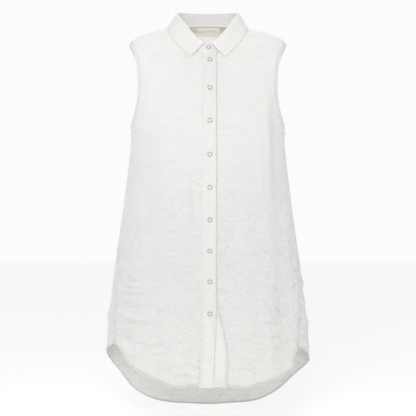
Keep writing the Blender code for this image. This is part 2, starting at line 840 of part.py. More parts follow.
def build_buttons(ring, band):
    """One button on the stand and the others down the placket."""
    across, height = COLLAR_BUTTON
    seam, top, lap = ring.steps[-2]
    up = (top - seam).normalized()
    out = ring_out([step[0] for step in ring.steps], len(ring.steps) - 2, up)
    base = seam + out * lap
    place = base + up * ((height - base.z) / up.z)
    place.x = across
    build_button("button_01", place + out * LAYER_GAP, out)
    for number, height in enumerate(BUTTON_HEIGHTS, start=2):
        spot, out = spot_on_band(band, height)
        build_button(f"button_{number:02d}", spot + out * LAYER_GAP, out)


def clear_scene():
    """Remove what a new file holds."""
    for thing in list(bpy.data.objects):
        bpy.data.objects.remove(thing, do_unlink=True)


def main():
    """Build every piece of the shirt."""
    clear_scene()
    armholes = {side: Armhole(side) for side in (RIGHT, LEFT)}
    shoulders = {side: shoulder_seam(side, armholes[side]) for side in (RIGHT, LEFT)}
    for side in (RIGHT, LEFT):
        build_front(side, armholes[side], shoulders[side])
        build_binding(side, armholes[side])
    build_back(armholes, shoulders)
    band = build_placket()
    build_button_band()
    ring = StandRing()
    build_stand(ring)
    build_fall()
    build_label("neck_label", (-LABEL_HALF, LABEL_HALF), LABEL_TOP, LABEL_LOW,
                CLOTH + LAYER_GAP)
    build_label("size_tab", TAB_SPAN, TAB_TOP, TAB_LOW,
                CLOTH + LABEL_THICK + 2 * LAYER_GAP)
    build_buttons(ring, band)


main()
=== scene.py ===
import logging
import math
from dataclasses import dataclass, field
from enum import Enum
from typing import Callable, Sequence

import bmesh
import bpy
import numpy as np
from mathutils import Matrix, Vector
from mathutils.bvhtree import BVHTree
from mathutils.kdtree import KDTree


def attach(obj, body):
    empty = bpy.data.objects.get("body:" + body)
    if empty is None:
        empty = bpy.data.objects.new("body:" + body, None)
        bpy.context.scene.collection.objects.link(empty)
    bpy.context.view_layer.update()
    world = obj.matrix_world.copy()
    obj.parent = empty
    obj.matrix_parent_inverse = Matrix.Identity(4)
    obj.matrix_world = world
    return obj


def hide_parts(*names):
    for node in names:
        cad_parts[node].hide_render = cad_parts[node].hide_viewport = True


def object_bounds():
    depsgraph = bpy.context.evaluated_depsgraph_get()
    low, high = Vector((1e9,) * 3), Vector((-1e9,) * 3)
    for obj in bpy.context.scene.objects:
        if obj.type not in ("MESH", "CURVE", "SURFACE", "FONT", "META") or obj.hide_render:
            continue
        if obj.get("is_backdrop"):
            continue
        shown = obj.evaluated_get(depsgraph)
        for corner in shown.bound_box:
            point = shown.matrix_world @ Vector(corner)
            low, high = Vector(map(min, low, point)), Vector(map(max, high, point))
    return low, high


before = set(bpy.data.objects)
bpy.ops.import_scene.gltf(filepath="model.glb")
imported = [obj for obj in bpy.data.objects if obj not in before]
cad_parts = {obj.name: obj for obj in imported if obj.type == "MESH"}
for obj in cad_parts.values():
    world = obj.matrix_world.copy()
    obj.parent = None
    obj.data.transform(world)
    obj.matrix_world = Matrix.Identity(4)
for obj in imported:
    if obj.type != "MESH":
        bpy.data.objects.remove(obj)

log = logging.getLogger("shirt")
MM = 0.001
BODY = "root"
WELD = 0.002 * MM
CRISP = math.radians(50)

Socket = bpy.types.NodeSocket
Triple = tuple[float, float, float]
Pair = tuple[float, float]


class Face(Enum):
    """The side of the shirt that something is drawn on: its outward direction and the axis across it."""

    FRONT = ((0.0, -1.0, 0.0), 0)
    BACK = ((0.0, 1.0, 0.0), 0)
    RIGHT = ((-1.0, 0.0, 0.0), 1)
    LEFT = ((1.0, 0.0, 0.0), 1)

    @property
    def outward(self) -> Vector:
        """The direction that this side faces."""
        return Vector(self.value[0])

    @property
    def across(self) -> int:
        """The index of the coordinate that runs across this side."""
        return self.value[1]


class Form(Enum):
    """How a crease stands in the cloth."""

    RIDGE = "ridge"
    TROUGH = "trough"
    FOLD = "fold"


@dataclass(frozen=True)
class Crease:
    """One soft line pressed in the cloth. Places and sizes are millimetres across and up on its side.

    start and end are its two ends, half is its half width, depth its height, bow how far its middle bends off
    the straight line, peak where along it the cloth is lifted most, and spread its width at the end against
    that at the start.
    """

    start: Pair
    end: Pair
    half: float
    depth: float
    form: Form = Form.RIDGE
    bow: float = 0.0
    peak: float = 0.5
    spread: float = 1.0
    side: Face = Face.FRONT

    SHORTEST_FADE = 0.06
    FOLD_GAIN = 2.33

    def lift(self, spots: np.ndarray) -> np.ndarray:
        """Finds how far the crease lifts the cloth.

        Args:
            spots: one row for each point, across and up, in millimetres.

        Returns:
            The lift at each point, in millimetres, outwards.
        """
        start, end = np.array(self.start), np.array(self.end)
        length = float(np.linalg.norm(end - start))
        along = (end - start) / length
        part = (spots - start) @ along / length
        off = (spots - start) @ np.array((-along[1], along[0])) - self.bow * 4 * part * (1 - part)
        before, after = (max(share, self.SHORTEST_FADE) for share in (self.peak, 1 - self.peak))
        reach = np.where(part < self.peak, before, after)
        fade = np.clip(1 - ((part - self.peak) / reach) ** 2, 0, 1) ** 2
        width = self.half * (1 + (self.spread - 1) * np.clip(part, 0, 1))
        place = off / width
        bell = np.exp(-place**2)
        if self.form is Form.TROUGH:
            bell = -bell
        elif self.form is Form.FOLD:
            bell = self.FOLD_GAIN * place * bell
        return self.depth * fade * bell


class Recipe:
    """The shader nodes of one material, added one at a time."""

    def __init__(self, name: str) -> None:
        """Starts a material with its Principled shader."""
        self.material = bpy.data.materials.new(name)
        self.material.use_nodes = True
        self.tree = self.material.node_tree
        self.shader = self.tree.nodes["Principled BSDF"]

    def feed(self, target: Socket, value: object) -> None:
        """Links a socket to an input, or sets the input to a value."""
        if isinstance(value, Socket):
            self.tree.links.new(value, target)
        else:
            target.default_value = value

    def add(self, kind: str, feeds: dict[int, object] | None = None, **settings: object) -> bpy.types.Node:
        """Adds a node.

        Args:
            kind: the node's type, without ShaderNode.
            feeds: for each input index, a socket to link or a value to set.
            settings: the node's own settings.

        Returns:
            The new node.
        """
        node = self.tree.nodes.new("ShaderNode" + kind)
        for key, value in settings.items():
            setattr(node, key, value)
        for index, value in (feeds or {}).items():
            self.feed(node.inputs[index], value)
        return node

    def place(self, layout: str) -> Socket:
        """Reads a Texture Coordinate output, such as UV or Object."""
        return self.add("TexCoord").outputs[layout]

    def math(self, operation: str, *values: object) -> Socket:
        """Adds a Math node on sockets or numbers and returns its output."""
        return self.add("Math", dict(enumerate(values)), operation=operation).outputs[0]

    def noise(self, place: Socket, spots: Pair, detail: float) -> Socket:
        """Adds a noise.

        Args:
            place: the coordinates in metres.
            spots: spots for each metre, across and along.
            detail: how many finer layers it has.

        Returns:
            The noise's value socket.
        """
        spread = self.add("Mapping", {0: place, 3: (spots[0], spots[1], spots[0])}).outputs[0]
        return self.add("TexNoise", {0: spread, 2: 1.0, 3: detail}, noise_dimensions="3D").outputs[0]

    def span(self, value: Socket, low: float, high: float, to_low: float, to_high: float) -> Socket:
        """Adds a Map Range node and returns its output."""
        return self.add("MapRange", {0: value, 1: low, 2: high, 3: to_low, 4: to_high}).outputs[0]

    def bump(self, height: Socket, deep: float, strength: float, under: Socket | None = None) -> Socket:
        """Adds a bump.

        Args:
            height: the height, from 0 to 1.
            deep: what a height of 1 is, in metres.
            strength: how strongly it shows.
            under: the normal of a coarser bump that this one lies on.

        Returns:
            The bumped normal.
        """
        node = self.add("Bump")
        feeds = {"Height": height, "Distance": deep, "Strength": strength, "Normal": under}
        for name, value in feeds.items():
            if value is not None:
                self.feed(node.inputs[name], value)
        return node.outputs[0]

    def tint(self, amount: Socket, light: Triple, dark: Triple) -> Socket:
        """Mixes two colours by a value from 0 to 1 and returns the colour socket."""
        return self.add("Mix", {0: amount, 6: (*light, 1.0), 7: (*dark, 1.0)}, data_type="RGBA").outputs[2]

    def set(self, **values: object) -> None:
        """Sets the shader's own inputs by name, with _ for a space; a socket is linked."""
        for name, value in values.items():
            self.feed(self.shader.inputs[name.replace("_", " ")], value)


@dataclass(frozen=True)
class Linen:
    """Washed plain-weave linen: uneven threads, slubs and a soft matte nap.

    thread, the heights, crumple and glow_reach are millimetres. The spots are how many of each mark lie in a
    metre, across and along, and the tones how far each darkens the cloth; the gap shade tone paints shade
    into the hollows between the threads. worn_heights are metres up the shirt, and worn_shares how rumpled
    the cloth is there.
    """

    name: str
    pale: Triple
    shade: Triple
    thread: float = 0.62
    weave_height: float = 0.11
    slub_height: float = 0.12
    crumple: float = 14.0
    sheer: float = 0.6
    glow_reach: float = 3.7
    sway: float = 0.9
    sway_spots: Pair = (55, 55)
    warp_slub_spots: Pair = (900, 26)
    weft_slub_spots: Pair = (22, 800)
    slub_range: Pair = (0.56, 0.78)
    cloud_spots: Pair = (14, 17)
    wrinkle_spots: Pair = (42, 84)
    crinkle_spots: Pair = (90, 130)
    cloud_share: float = 0.6
    wrinkle_share: float = 0.45
    crinkle_share: float = 0.3
    worn_heights: Pair = (-0.3, -0.62)
    worn_shares: Pair = (0.4, 1.15)
    cloud_tone: float = 0.55
    slub_tone: float = 0.16
    gap_shade_tone: float = 0.22

    def weave(self, mix: Recipe, flat: Socket) -> Socket:
        """Crosses warp and weft threads and returns the height of the weave, from 0 to 1."""
        sway = mix.math("MULTIPLY", mix.noise(flat, self.sway_spots, 1.0), self.sway)
        parts = mix.add("SeparateXYZ", {0: flat}).outputs
        pitch = math.pi / (self.thread * MM)
        warp, weft = (
            mix.math("SINE", mix.math("ADD", mix.math("MULTIPLY", part, pitch), sway)) for part in parts[:2]
        )
        over = mix.math("MULTIPLY_ADD", mix.math("MULTIPLY", warp, weft), 0.5, 0.5)
        under = mix.math("SUBTRACT", 1.0, over)
        raised = (
            mix.math("MULTIPLY", mix.math("ABSOLUTE", thread), share)
            for thread, share in ((warp, over), (weft, under))
        )
        return mix.math("ADD", *raised)

    def slubs(self, mix: Recipe, flat: Socket) -> Socket:
        """Thickens the threads here and there, both ways, and returns how thick they are."""
        thick = (
            mix.span(mix.noise(flat, spots, 2.0), *self.slub_range, 0.0, 1.0)
            for spots in (self.warp_slub_spots, self.weft_slub_spots)
        )
        return mix.math("ADD", *thick)

    def rumples(self, mix: Recipe, flat: Socket, clouds: Socket) -> Socket:
        """Adds up the soft rumples, stronger towards the hem, and returns their height."""
        wrinkles = mix.noise(flat, self.wrinkle_spots, 4.0)
        crinkles = mix.math("MULTIPLY", mix.noise(flat, self.crinkle_spots, 3.0), self.crinkle_share)
        small = mix.math("MULTIPLY_ADD", wrinkles, self.wrinkle_share, crinkles)
        height = mix.add("SeparateXYZ", {0: mix.place("Object")}).outputs[2]
        worn = mix.span(height, *self.worn_heights, *self.worn_shares)
        large = mix.math("MULTIPLY", clouds, self.cloud_share)
        return mix.math("MULTIPLY", mix.math("ADD", large, small), worn)

    def material(self) -> bpy.types.Material:
        """Builds the material on the cloth's own flat layout, which is in metres."""
        mix = Recipe(self.name)
        flat = mix.place("UV")
        weave, slubs = self.weave(mix, flat), self.slubs(mix, flat)
        clouds = mix.noise(flat, self.cloud_spots, 3.0)
        coarse = mix.bump(self.rumples(mix, flat, clouds), self.crumple * MM, 1.0)
        middle = mix.bump(slubs, self.slub_height * MM, 0.5, coarse)
        fine = mix.bump(weave, self.weave_height * MM, 0.6, middle)
        clouded = mix.math("MULTIPLY", clouds, self.cloud_tone)
        slubbed = mix.math("MULTIPLY", slubs, self.slub_tone)
        # painted shade: the hollows between the threads, where the weave is low, are darkened
        gap_shade = mix.math("MULTIPLY", mix.math("SUBTRACT", 1.0, weave), self.gap_shade_tone)
        tone = mix.math("ADD", mix.math("ADD", clouded, slubbed), gap_shade)
        mix.set(Base_Color=mix.tint(tone, self.pale, self.shade), Roughness=0.86, Normal=fine)
        mix.set(Sheen_Weight=0.12, Sheen_Roughness=0.45, IOR=1.45, Specular_IOR_Level=0.22)
        mix.set(Subsurface_Weight=self.sheer, Subsurface_Radius=(1.0, 0.97, 0.9))
        mix.set(Subsurface_Scale=self.glow_reach * MM)
        return mix.material


@dataclass(frozen=True)
class LabelTape:
    """Woven cotton label tape, left bare. rib and warp are its threads' pitches in millimetres."""

    name: str
    pale: Triple
    shade: Triple
    rib: float = 0.5
    warp: float = 0.35
    cloud_spots: Pair = (120, 90)

    def threads(self, mix: Recipe, place: Socket, pitch: float) -> Socket:
        """Lays round threads side by side and returns their height, from 0 to 1."""
        return mix.math("ABSOLUTE", mix.math("SINE", mix.math("MULTIPLY", place, math.pi / (pitch * MM))))

    def material(self) -> bpy.types.Material:
        """Builds the material on the tape's own flat layout."""
        mix = Recipe(self.name)
        flat = mix.place("UV")
        parts = mix.add("SeparateXYZ", {0: flat}).outputs
        ribs, warp = self.threads(mix, parts[1], self.rib), self.threads(mix, parts[0], self.warp)
        height = mix.math("ADD", mix.math("MULTIPLY", ribs, 0.7), mix.math("MULTIPLY", warp, 0.3))
        clouds = mix.noise(flat, self.cloud_spots, 2.0)
        mix.set(Base_Color=mix.tint(clouds, self.pale, self.shade), Roughness=0.7)
        mix.set(Normal=mix.bump(height, 0.08 * MM, 0.5), Sheen_Weight=0.1, IOR=1.45)
        return mix.material


@dataclass(frozen=True)
class ButtonShell:
    """Pearly button plastic with a soft gloss and faint streaks."""

    name: str
    pale: Triple
    shade: Triple
    streak_spots: Pair = (420, 900)
    wear_spots: Pair = (1500, 1500)
    gloss: Pair = (0.24, 0.36)

    def material(self) -> bpy.types.Material:
        """Builds the material on Object coordinates."""
        mix = Recipe(self.name)
        place = mix.place("Object")
        streak, wear = mix.noise(place, self.streak_spots, 3.0), mix.noise(place, self.wear_spots, 2.0)
        mix.set(Base_Color=mix.tint(mix.span(streak, 0.3, 0.7, 0.0, 1.0), self.pale, self.shade))
        mix.set(Roughness=mix.span(wear, 0.3, 0.7, *self.gloss), Normal=mix.bump(wear, 0.01 * MM, 0.3))
        mix.set(IOR=1.53, Coat_Weight=0.35, Coat_Roughness=0.15)
        return mix.material


@dataclass(frozen=True)
class SewingThread:
    """Matt spun sewing thread. The same finish is also laid as painted shade along the placket's lap edge and
    the leaf's edge.
    """

    name: str
    pale: Triple
    shade: Triple
    twist_spots: Pair = (3000, 5200)

    def material(self) -> bpy.types.Material:
        """Builds the material on Object coordinates."""
        mix = Recipe(self.name)
        twist = mix.noise(mix.place("Object"), self.twist_spots, 1.0)
        mix.set(Base_Color=mix.tint(twist, self.pale, self.shade), Roughness=0.75)
        mix.set(Normal=mix.bump(twist, 0.05 * MM, 0.4), Sheen_Weight=0.1)
        return mix.material


LINEN = Linen("washed_linen", (0.9, 0.881, 0.847), (0.845, 0.826, 0.79), sheer=0.82)
LINEN_TRIM = Linen("stitched_linen_trim", (0.87, 0.855, 0.825), (0.815, 0.8, 0.768), crumple=7.5, sheer=0.5)
FELL = Linen("felled_linen_strip", (0.84, 0.825, 0.795), (0.80, 0.785, 0.755), crumple=3.0, sheer=0.0)
TAPE = LabelTape("bare_label_tape", (0.91, 0.885, 0.80), (0.85, 0.815, 0.72))
SHELL = ButtonShell("pearly_button", (0.79, 0.78, 0.76), (0.70, 0.69, 0.67))
# painted shade: the rim's darker grey stands for the shadow on the button's rim
RIM_SHADE = ButtonShell("button_rim_painted_shade", (0.46, 0.46, 0.45), (0.34, 0.34, 0.33))
THREAD = SewingThread("off_white_thread", (0.86, 0.85, 0.81), (0.76, 0.75, 0.71))
# ECRU is real ecru thread for the tacks and the band box, and painted shade where it is laid along the leaf's
# edge
ECRU = SewingThread("ecru_thread_and_edge_shade", (0.66, 0.62, 0.49), (0.56, 0.52, 0.40))
# painted shade: this deep ecru is laid along the placket's lap edge as its thin shadow line
LAP_EDGE_SHADE = SewingThread("placket_lap_painted_shade", (0.40, 0.37, 0.28), (0.32, 0.29, 0.22))

RIDGE, TROUGH, FOLD = Form.RIDGE, Form.TROUGH, Form.FOLD

RIGHT_FRONT_CREASES = (
    # fine wrinkles across the waist
    Crease((-178, -345), (-100, -336), 4.5, 0.8, FOLD, bow=3),
    Crease((-150, -353), (-62, -345), 4.0, 0.8, RIDGE, bow=-4),
    Crease((-184, -361), (-95, -358), 5.0, 0.9, FOLD, bow=4),
    Crease((-128, -367), (-50, -372), 4.0, 0.8, TROUGH, bow=3),
    Crease((-170, -381), (-88, -374), 4.5, 0.8, RIDGE, bow=-3),
    Crease((-142, -393), (-70, -388), 4.0, 0.7, FOLD),
    Crease((-120, -318), (-66, -322), 5.0, 0.6, RIDGE, bow=3),
    # rising to the right from the side seam
    Crease((-192, -509), (-110, -465), 6.0, 1.2, RIDGE, bow=3),
    Crease((-196, -522), (-135, -492), 5.0, 1.0, FOLD, peak=0.3),
    Crease((-182, -482), (-128, -460), 5.0, 0.9, TROUGH),
    Crease((-176, -540), (-118, -518), 5.0, 0.8, RIDGE),
    # the long one to the placket, and the short curved one under it
    Crease((-137, -553), (-16, -535), 5.0, 1.6, RIDGE, bow=-3, peak=0.55),
    Crease((-120, -563), (-36, -548), 5.0, 1.0, TROUGH, bow=-3),
    Crease((-82, -607), (-26, -615), 4.5, 1.5, TROUGH, bow=-6, peak=0.6),
    Crease((-84, -598), (-28, -605), 5.0, 1.1, RIDGE, bow=-6, peak=0.6),
    Crease((-118, -587), (-58, -578), 5.0, 0.8, RIDGE),
    # the fan out of the side seam above the hem
    Crease((-210, -628), (-120, -636), 5.0, 0.9, FOLD, bow=3, peak=0.3),
    Crease((-214, -643), (-135, -650), 4.5, 1.1, RIDGE, bow=4, peak=0.25),
    Crease((-215, -660), (-112, -657), 5.0, 1.2, FOLD, bow=-4, peak=0.3),
    Crease((-216, -676), (-140, -688), 5.0, 1.3, RIDGE, bow=3, peak=0.2),
    Crease((-216, -692), (-104, -706), 5.5, 1.2, FOLD, bow=5, peak=0.35),
    Crease((-217, -710), (-130, -722), 5.0, 1.3, RIDGE, bow=-4, peak=0.2),
    Crease((-218, -727), (-96, -742), 5.5, 1.2, FOLD, bow=4, peak=0.3),
    Crease((-218, -744), (-140, -762), 5.0, 1.3, RIDGE, bow=3, peak=0.2),
    Crease((-219, -760), (-110, -786), 6.0, 1.2, FOLD, bow=-5, peak=0.3),
    Crease((-212, -777), (-132, -806), 6.0, 1.2, TROUGH, bow=4, peak=0.3),
    # soft lines near the hem and beside the placket
    Crease((-165, -802), (-60, -772), 7.0, 1.0, FOLD, bow=6),
    Crease((-135, -846), (-40, -812), 7.0, 1.1, RIDGE, bow=-5),
    Crease((-98, -868), (-26, -850), 6.0, 0.9, FOLD, bow=3),
    Crease((-90, -745), (-30, -728), 6.0, 0.8, RIDGE, bow=-3),
    Crease((-19, -660), (-22, -722), 5.0, 1.1, TROUGH),
    Crease((-34, -300), (-27, -650), 9.0, 1.0, TROUGH, bow=-4),
    Crease((-58, -330), (-52, -560), 12.0, 0.8, RIDGE, bow=4),
    # out of the armhole
    Crease((-166, -250), (-118, -292), 6.0, 0.9, TROUGH, peak=0.3, spread=1.6),
    Crease((-172, -272), (-128, -318), 6.0, 0.8, RIDGE, peak=0.3, spread=1.5),
    Crease((-150, -120), (-146, -235), 9.0, 0.7, RIDGE, bow=5),
    # beside the right side seam
    Crease((-192, -330), (-206, -470), 8.0, 1.0, TROUGH, bow=4),
)

LEFT_FRONT_CREASES = (
    # out of the placket
    Crease((22, -416), (66, -428), 5.0, 1.0, RIDGE, peak=0.3),
    Crease((22, -424), (74, -441), 5.0, 1.5, TROUGH, bow=2, peak=0.3),
    Crease((58, -438), (112, -462), 6.0, 0.9, RIDGE, bow=-2),
    Crease((22, -489), (70, -498), 5.0, 0.8, RIDGE, peak=0.3),
    Crease((22, -498), (54, -507), 4.5, 1.3, TROUGH, peak=0.25),
    Crease((22, -560), (62, -563), 5.0, 0.8, FOLD, peak=0.3),
    Crease((24, -573), (84, -592), 5.0, 1.2, TROUGH, bow=3, peak=0.4),
    Crease((24, -582), (94, -607), 5.5, 2.0, RIDGE, bow=4, peak=0.45),
    Crease((30, -598), (88, -622), 5.5, 1.1, TROUGH, bow=4),
    Crease((22, -636), (64, -668), 5.5, 1.4, RIDGE, bow=2, peak=0.3),
    Crease((22, -652), (52, -690), 5.0, 1.2, TROUGH, bow=2, peak=0.3),
    Crease((22, -270), (64, -277), 5.0, 0.7, FOLD, peak=0.3),
    Crease((22, -345), (62, -357), 5.0, 0.9, TROUGH, peak=0.3),
    Crease((22, -336), (80, -345), 5.0, 0.7, RIDGE, peak=0.4),
    Crease((22, -385), (58, -390), 5.0, 0.6, FOLD, peak=0.3),
    # long folds down from the bust and the armhole
    Crease((139, -180), (150, -430), 7.0, 0.7, RIDGE, bow=4),
    Crease((152, -190), (163, -450), 6.0, 0.6, TROUGH, bow=3),
    Crease((128, -250), (134, -490), 8.0, 0.8, RIDGE, bow=-4),
    Crease((168, -235), (191, -570), 10.0, 0.7, TROUGH, bow=6),
    Crease((178, -300), (200, -640), 8.0, 0.5, RIDGE, bow=5),
    Crease((196, -420), (212, -700), 8.0, 0.5, TROUGH, bow=4),
    # small wrinkles over the hip and the hem
    Crease((62, -652), (132, -640), 5.0, 0.8, FOLD, bow=3),
    Crease((96, -560), (160, -548), 6.0, 0.6, RIDGE, bow=-3),
    Crease((120, -702), (192, -688), 5.0, 0.9, RIDGE, bow=3),
    Crease((100, -728), (182, -744), 5.5, 0.9, FOLD, bow=4),
    Crease((128, -763), (208, -752), 5.5, 1.1, RIDGE, bow=-4, peak=0.7),
    Crease((70, -772), (150, -790), 6.0, 0.9, FOLD, bow=4),
    Crease((108, -808), (196, -780), 6.0, 1.1, RIDGE, bow=4, peak=0.6),
    Crease((60, -832), (142, -842), 6.0, 0.9, FOLD, bow=-5),
    Crease((84, -862), (152, -836), 6.0, 1.0, RIDGE, bow=3),
    Crease((150, -665), (205, -650), 5.0, 0.8, RIDGE, peak=0.7),
    Crease((142, -720), (206, -712), 5.0, 0.9, FOLD, peak=0.7),
)

BACK_CREASES = tuple(
    Crease(start, end, half, depth, form, bow=bow, side=side)
    for start, end, half, depth, form, bow, side in (
        # down from the shoulder blades
        ((-118, -90), (-132, -430), 14, 1.6, RIDGE, 8, Face.BACK),
        ((-86, -110), (-92, -380), 12, 1.3, TROUGH, -6, Face.BACK),
        ((96, -95), (118, -460), 14, 1.5, RIDGE, -8, Face.BACK),
        ((70, -120), (80, -400), 12, 1.2, TROUGH, 6, Face.BACK),
        ((6, -60), (-4, -300), 16, 1.0, RIDGE, 5, Face.BACK),
        # across the waist
        ((-176, -402), (-52, -418), 9, 1.3, FOLD, 8, Face.BACK),
        ((-120, -440), (30, -430), 9, 1.4, RIDGE, -7, Face.BACK),
        ((24, -412), (166, -426), 10, 1.3, FOLD, 6, Face.BACK),
        ((-30, -470), (112, -458), 9, 1.2, TROUGH, 8, Face.BACK),
        ((-168, -486), (-66, -470), 9, 1.2, RIDGE, -5, Face.BACK),
        # loose folds of the skirt
        ((-60, -520), (-84, -900), 16, 2.0, RIDGE, 10, Face.BACK),
        ((-20, -540), (-26, -930), 15, 1.8, TROUGH, -9, Face.BACK),
        ((32, -510), (48, -925), 17, 2.1, RIDGE, -10, Face.BACK),
        ((96, -560), (124, -900), 15, 1.8, TROUGH, 8, Face.BACK),
        ((150, -520), (186, -860), 16, 1.9, RIDGE, -8, Face.BACK),
        ((-140, -560), (-170, -880), 15, 1.8, TROUGH, 8, Face.BACK),
        ((-196, -520), (-214, -820), 12, 1.5, RIDGE, 5, Face.BACK),
        # short slanting ones
        ((-180, -610), (-96, -640), 9, 1.2, FOLD, 5, Face.BACK),
        ((70, -650), (176, -690), 9, 1.3, RIDGE, 7, Face.BACK),
        ((-110, -760), (-10, -730), 10, 1.2, FOLD, -6, Face.BACK),
        ((20, -820), (140, -790), 10, 1.2, RIDGE, 6, Face.BACK),
        # on the right and left sides
        ((10, -300), (22, -700), 12, 1.6, TROUGH, 7, Face.RIGHT),
        ((40, -280), (60, -620), 12, 1.5, RIDGE, -6, Face.RIGHT),
        ((-20, -560), (50, -600), 9, 1.3, FOLD, 6, Face.RIGHT),
        ((-40, -740), (40, -705), 10, 1.3, RIDGE, 5, Face.RIGHT),
        ((-2, -290), (14, -680), 12, 1.6, TROUGH, -7, Face.LEFT),
        ((36, -300), (54, -640), 12, 1.5, RIDGE, 6, Face.LEFT),
        ((-14, -540), (56, -575), 9, 1.3, FOLD, 5, Face.LEFT),
        ((-44, -720), (30, -750), 10, 1.4, RIDGE, -5, Face.LEFT),
        ((-30, -660), (34, -640), 9, 1.1, FOLD, 4, Face.LEFT),
    )
)

BAND_CREASES = tuple(
    Crease((start_x, height), (end_x, height + slope), 5.0, depth, form)
    for start_x, end_x, height, slope, depth, form in (
        (-14, 8, -130, 3, 0.35, RIDGE),
        (-4, 22, -142, -2, 0.3, TROUGH),
        (-14, 12, -205, -4, 0.35, FOLD),
        (-6, 22, -286, 4, 0.4, RIDGE),
        (-14, 10, -366, -3, 0.35, TROUGH),
        (-8, 22, -445, 3, 0.4, FOLD),
        (-14, 14, -523, 5, 0.4, RIDGE),
        (-12, 22, -596, -3, 0.4, TROUGH),
        (-14, 12, -672, 4, 0.4, FOLD),
        (-10, 20, -756, -4, 0.5, RIDGE),
        (-14, 16, -812, 3, 0.5, FOLD),
    )
)

LEAF_CREASES = (
    Crease((-88, 12), (-60, -52), 8.0, 0.5, RIDGE, bow=4),
    Crease((-62, -30), (-38, -58), 6.0, 0.4, TROUGH),
    Crease((86, 10), (62, -48), 8.0, 0.5, TROUGH, bow=-4),
    Crease((58, -26), (34, -52), 6.0, 0.4, RIDGE),
    Crease((-60, 10), (52, 14), 7.0, 0.7, FOLD, bow=4, side=Face.BACK),
    Crease((-40, 26), (66, 22), 6.0, 0.5, RIDGE, bow=-3, side=Face.BACK),
)


# length, height and shift of the waves that pucker a hem
HEM_RIPPLES = ((43.0, 0.5, 0.4), (27.0, 0.45, 2.2), (17.0, 0.3, 4.1), (71.0, 0.4, 1.3))


def linked(name: str, data: bpy.types.ID) -> bpy.types.Object:
    """Puts a mesh, light or camera in the scene as an object."""
    made = bpy.data.objects.new(name, data)
    bpy.context.scene.collection.objects.link(made)
    return made


def mesh_of(form: bmesh.types.BMesh, name: str) -> bpy.types.Mesh:
    """Makes a mesh of a bmesh, and frees the bmesh."""
    mesh = bpy.data.meshes.new(name)
    form.to_mesh(mesh)
    form.free()
    return mesh


def tree_of(mesh: bpy.types.Mesh) -> BVHTree:
    """Sorts a mesh's faces, so that the nearest one is found quickly."""
    return BVHTree.FromPolygons([v.co for v in mesh.vertices], [p.vertices for p in mesh.polygons])


def shade(mesh: bpy.types.Mesh, smooth: bool) -> None:
    """Shades all faces of a mesh smooth or flat."""
    for polygon in mesh.polygons:
        polygon.use_smooth = smooth


def add_piece(name: str, mesh: bpy.types.Mesh, material: bpy.types.Material) -> bpy.types.Object:
    """Puts a mesh in the scene as a finished piece of the shirt.

    Args:
        name: the piece's name.
        mesh: its mesh, placed in metres.
        material: its finish.

    Returns:
        The new object, which rides on the shirt's body.
    """
    piece = linked(name, mesh)
    mesh.materials.clear()
    mesh.materials.append(material)
    shade(mesh, True)
    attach(piece, BODY)
    log.info("%s: %d faces", name, len(mesh.polygons))
    return piece


def applied(piece: bpy.types.Object) -> None:
    """Takes a piece's modifiers into its mesh."""
    graph = bpy.context.evaluated_depsgraph_get()
    mesh = bpy.data.meshes.new_from_object(piece.evaluated_get(graph))
    piece.modifiers.clear()
    piece.data = mesh


def walled(piece: bpy.types.Object, wall: float, offset: float) -> None:
    """Gives a sheet its wall, and shades it smoothly with crisp cut edges.

    Args:
        piece: the sheet.
        wall: how thick it becomes, in millimetres.
        offset: -1 for a wall inwards from the sheet, 0 for one half on each side.
    """
    shell = piece.modifiers.new("wall", "SOLIDIFY")
    shell.thickness, shell.offset = wall * MM, offset
    shell.use_even_offset = False
    applied(piece)
    shade(piece.data, True)
    piece.data.set_sharp_from_angle(angle=CRISP)


@dataclass
class EdgeRun:
    """A stretch of a cloth's edge: its points, their outward normals and the way into the cloth."""

    points: list[Vector] = field(default_factory=list)
    normals: list[Vector] = field(default_factory=list)
    inward: list[Vector] = field(default_factory=list)

    @property
    def length(self) -> float:
        """Its length in metres."""
        return sum((b - a).length for a, b in zip(self.points, self.points[1:]))

    @property
    def tree(self) -> KDTree:
        """Its points, sorted so that the nearest one is found quickly."""
        tree = KDTree(len(self.points))
        for index, point in enumerate(self.points):
            tree.insert(point, index)
        tree.balance()
        return tree

    def add(self, point: Vector, normal: Vector, inward: Vector) -> None:
        """Adds a point at its end."""
        self.points.append(point)
        self.normals.append(normal)
        self.inward.append(inward)

    def chosen(self, test: Callable[[Vector], bool]) -> "EdgeRun":
        """Keeps the points that pass a test of their place and returns them as a new run."""
        keep = [index for index, point in enumerate(self.points) if test(point)]
        return EdgeRun(*([row[i] for i in keep] for row in (self.points, self.normals, self.inward)))


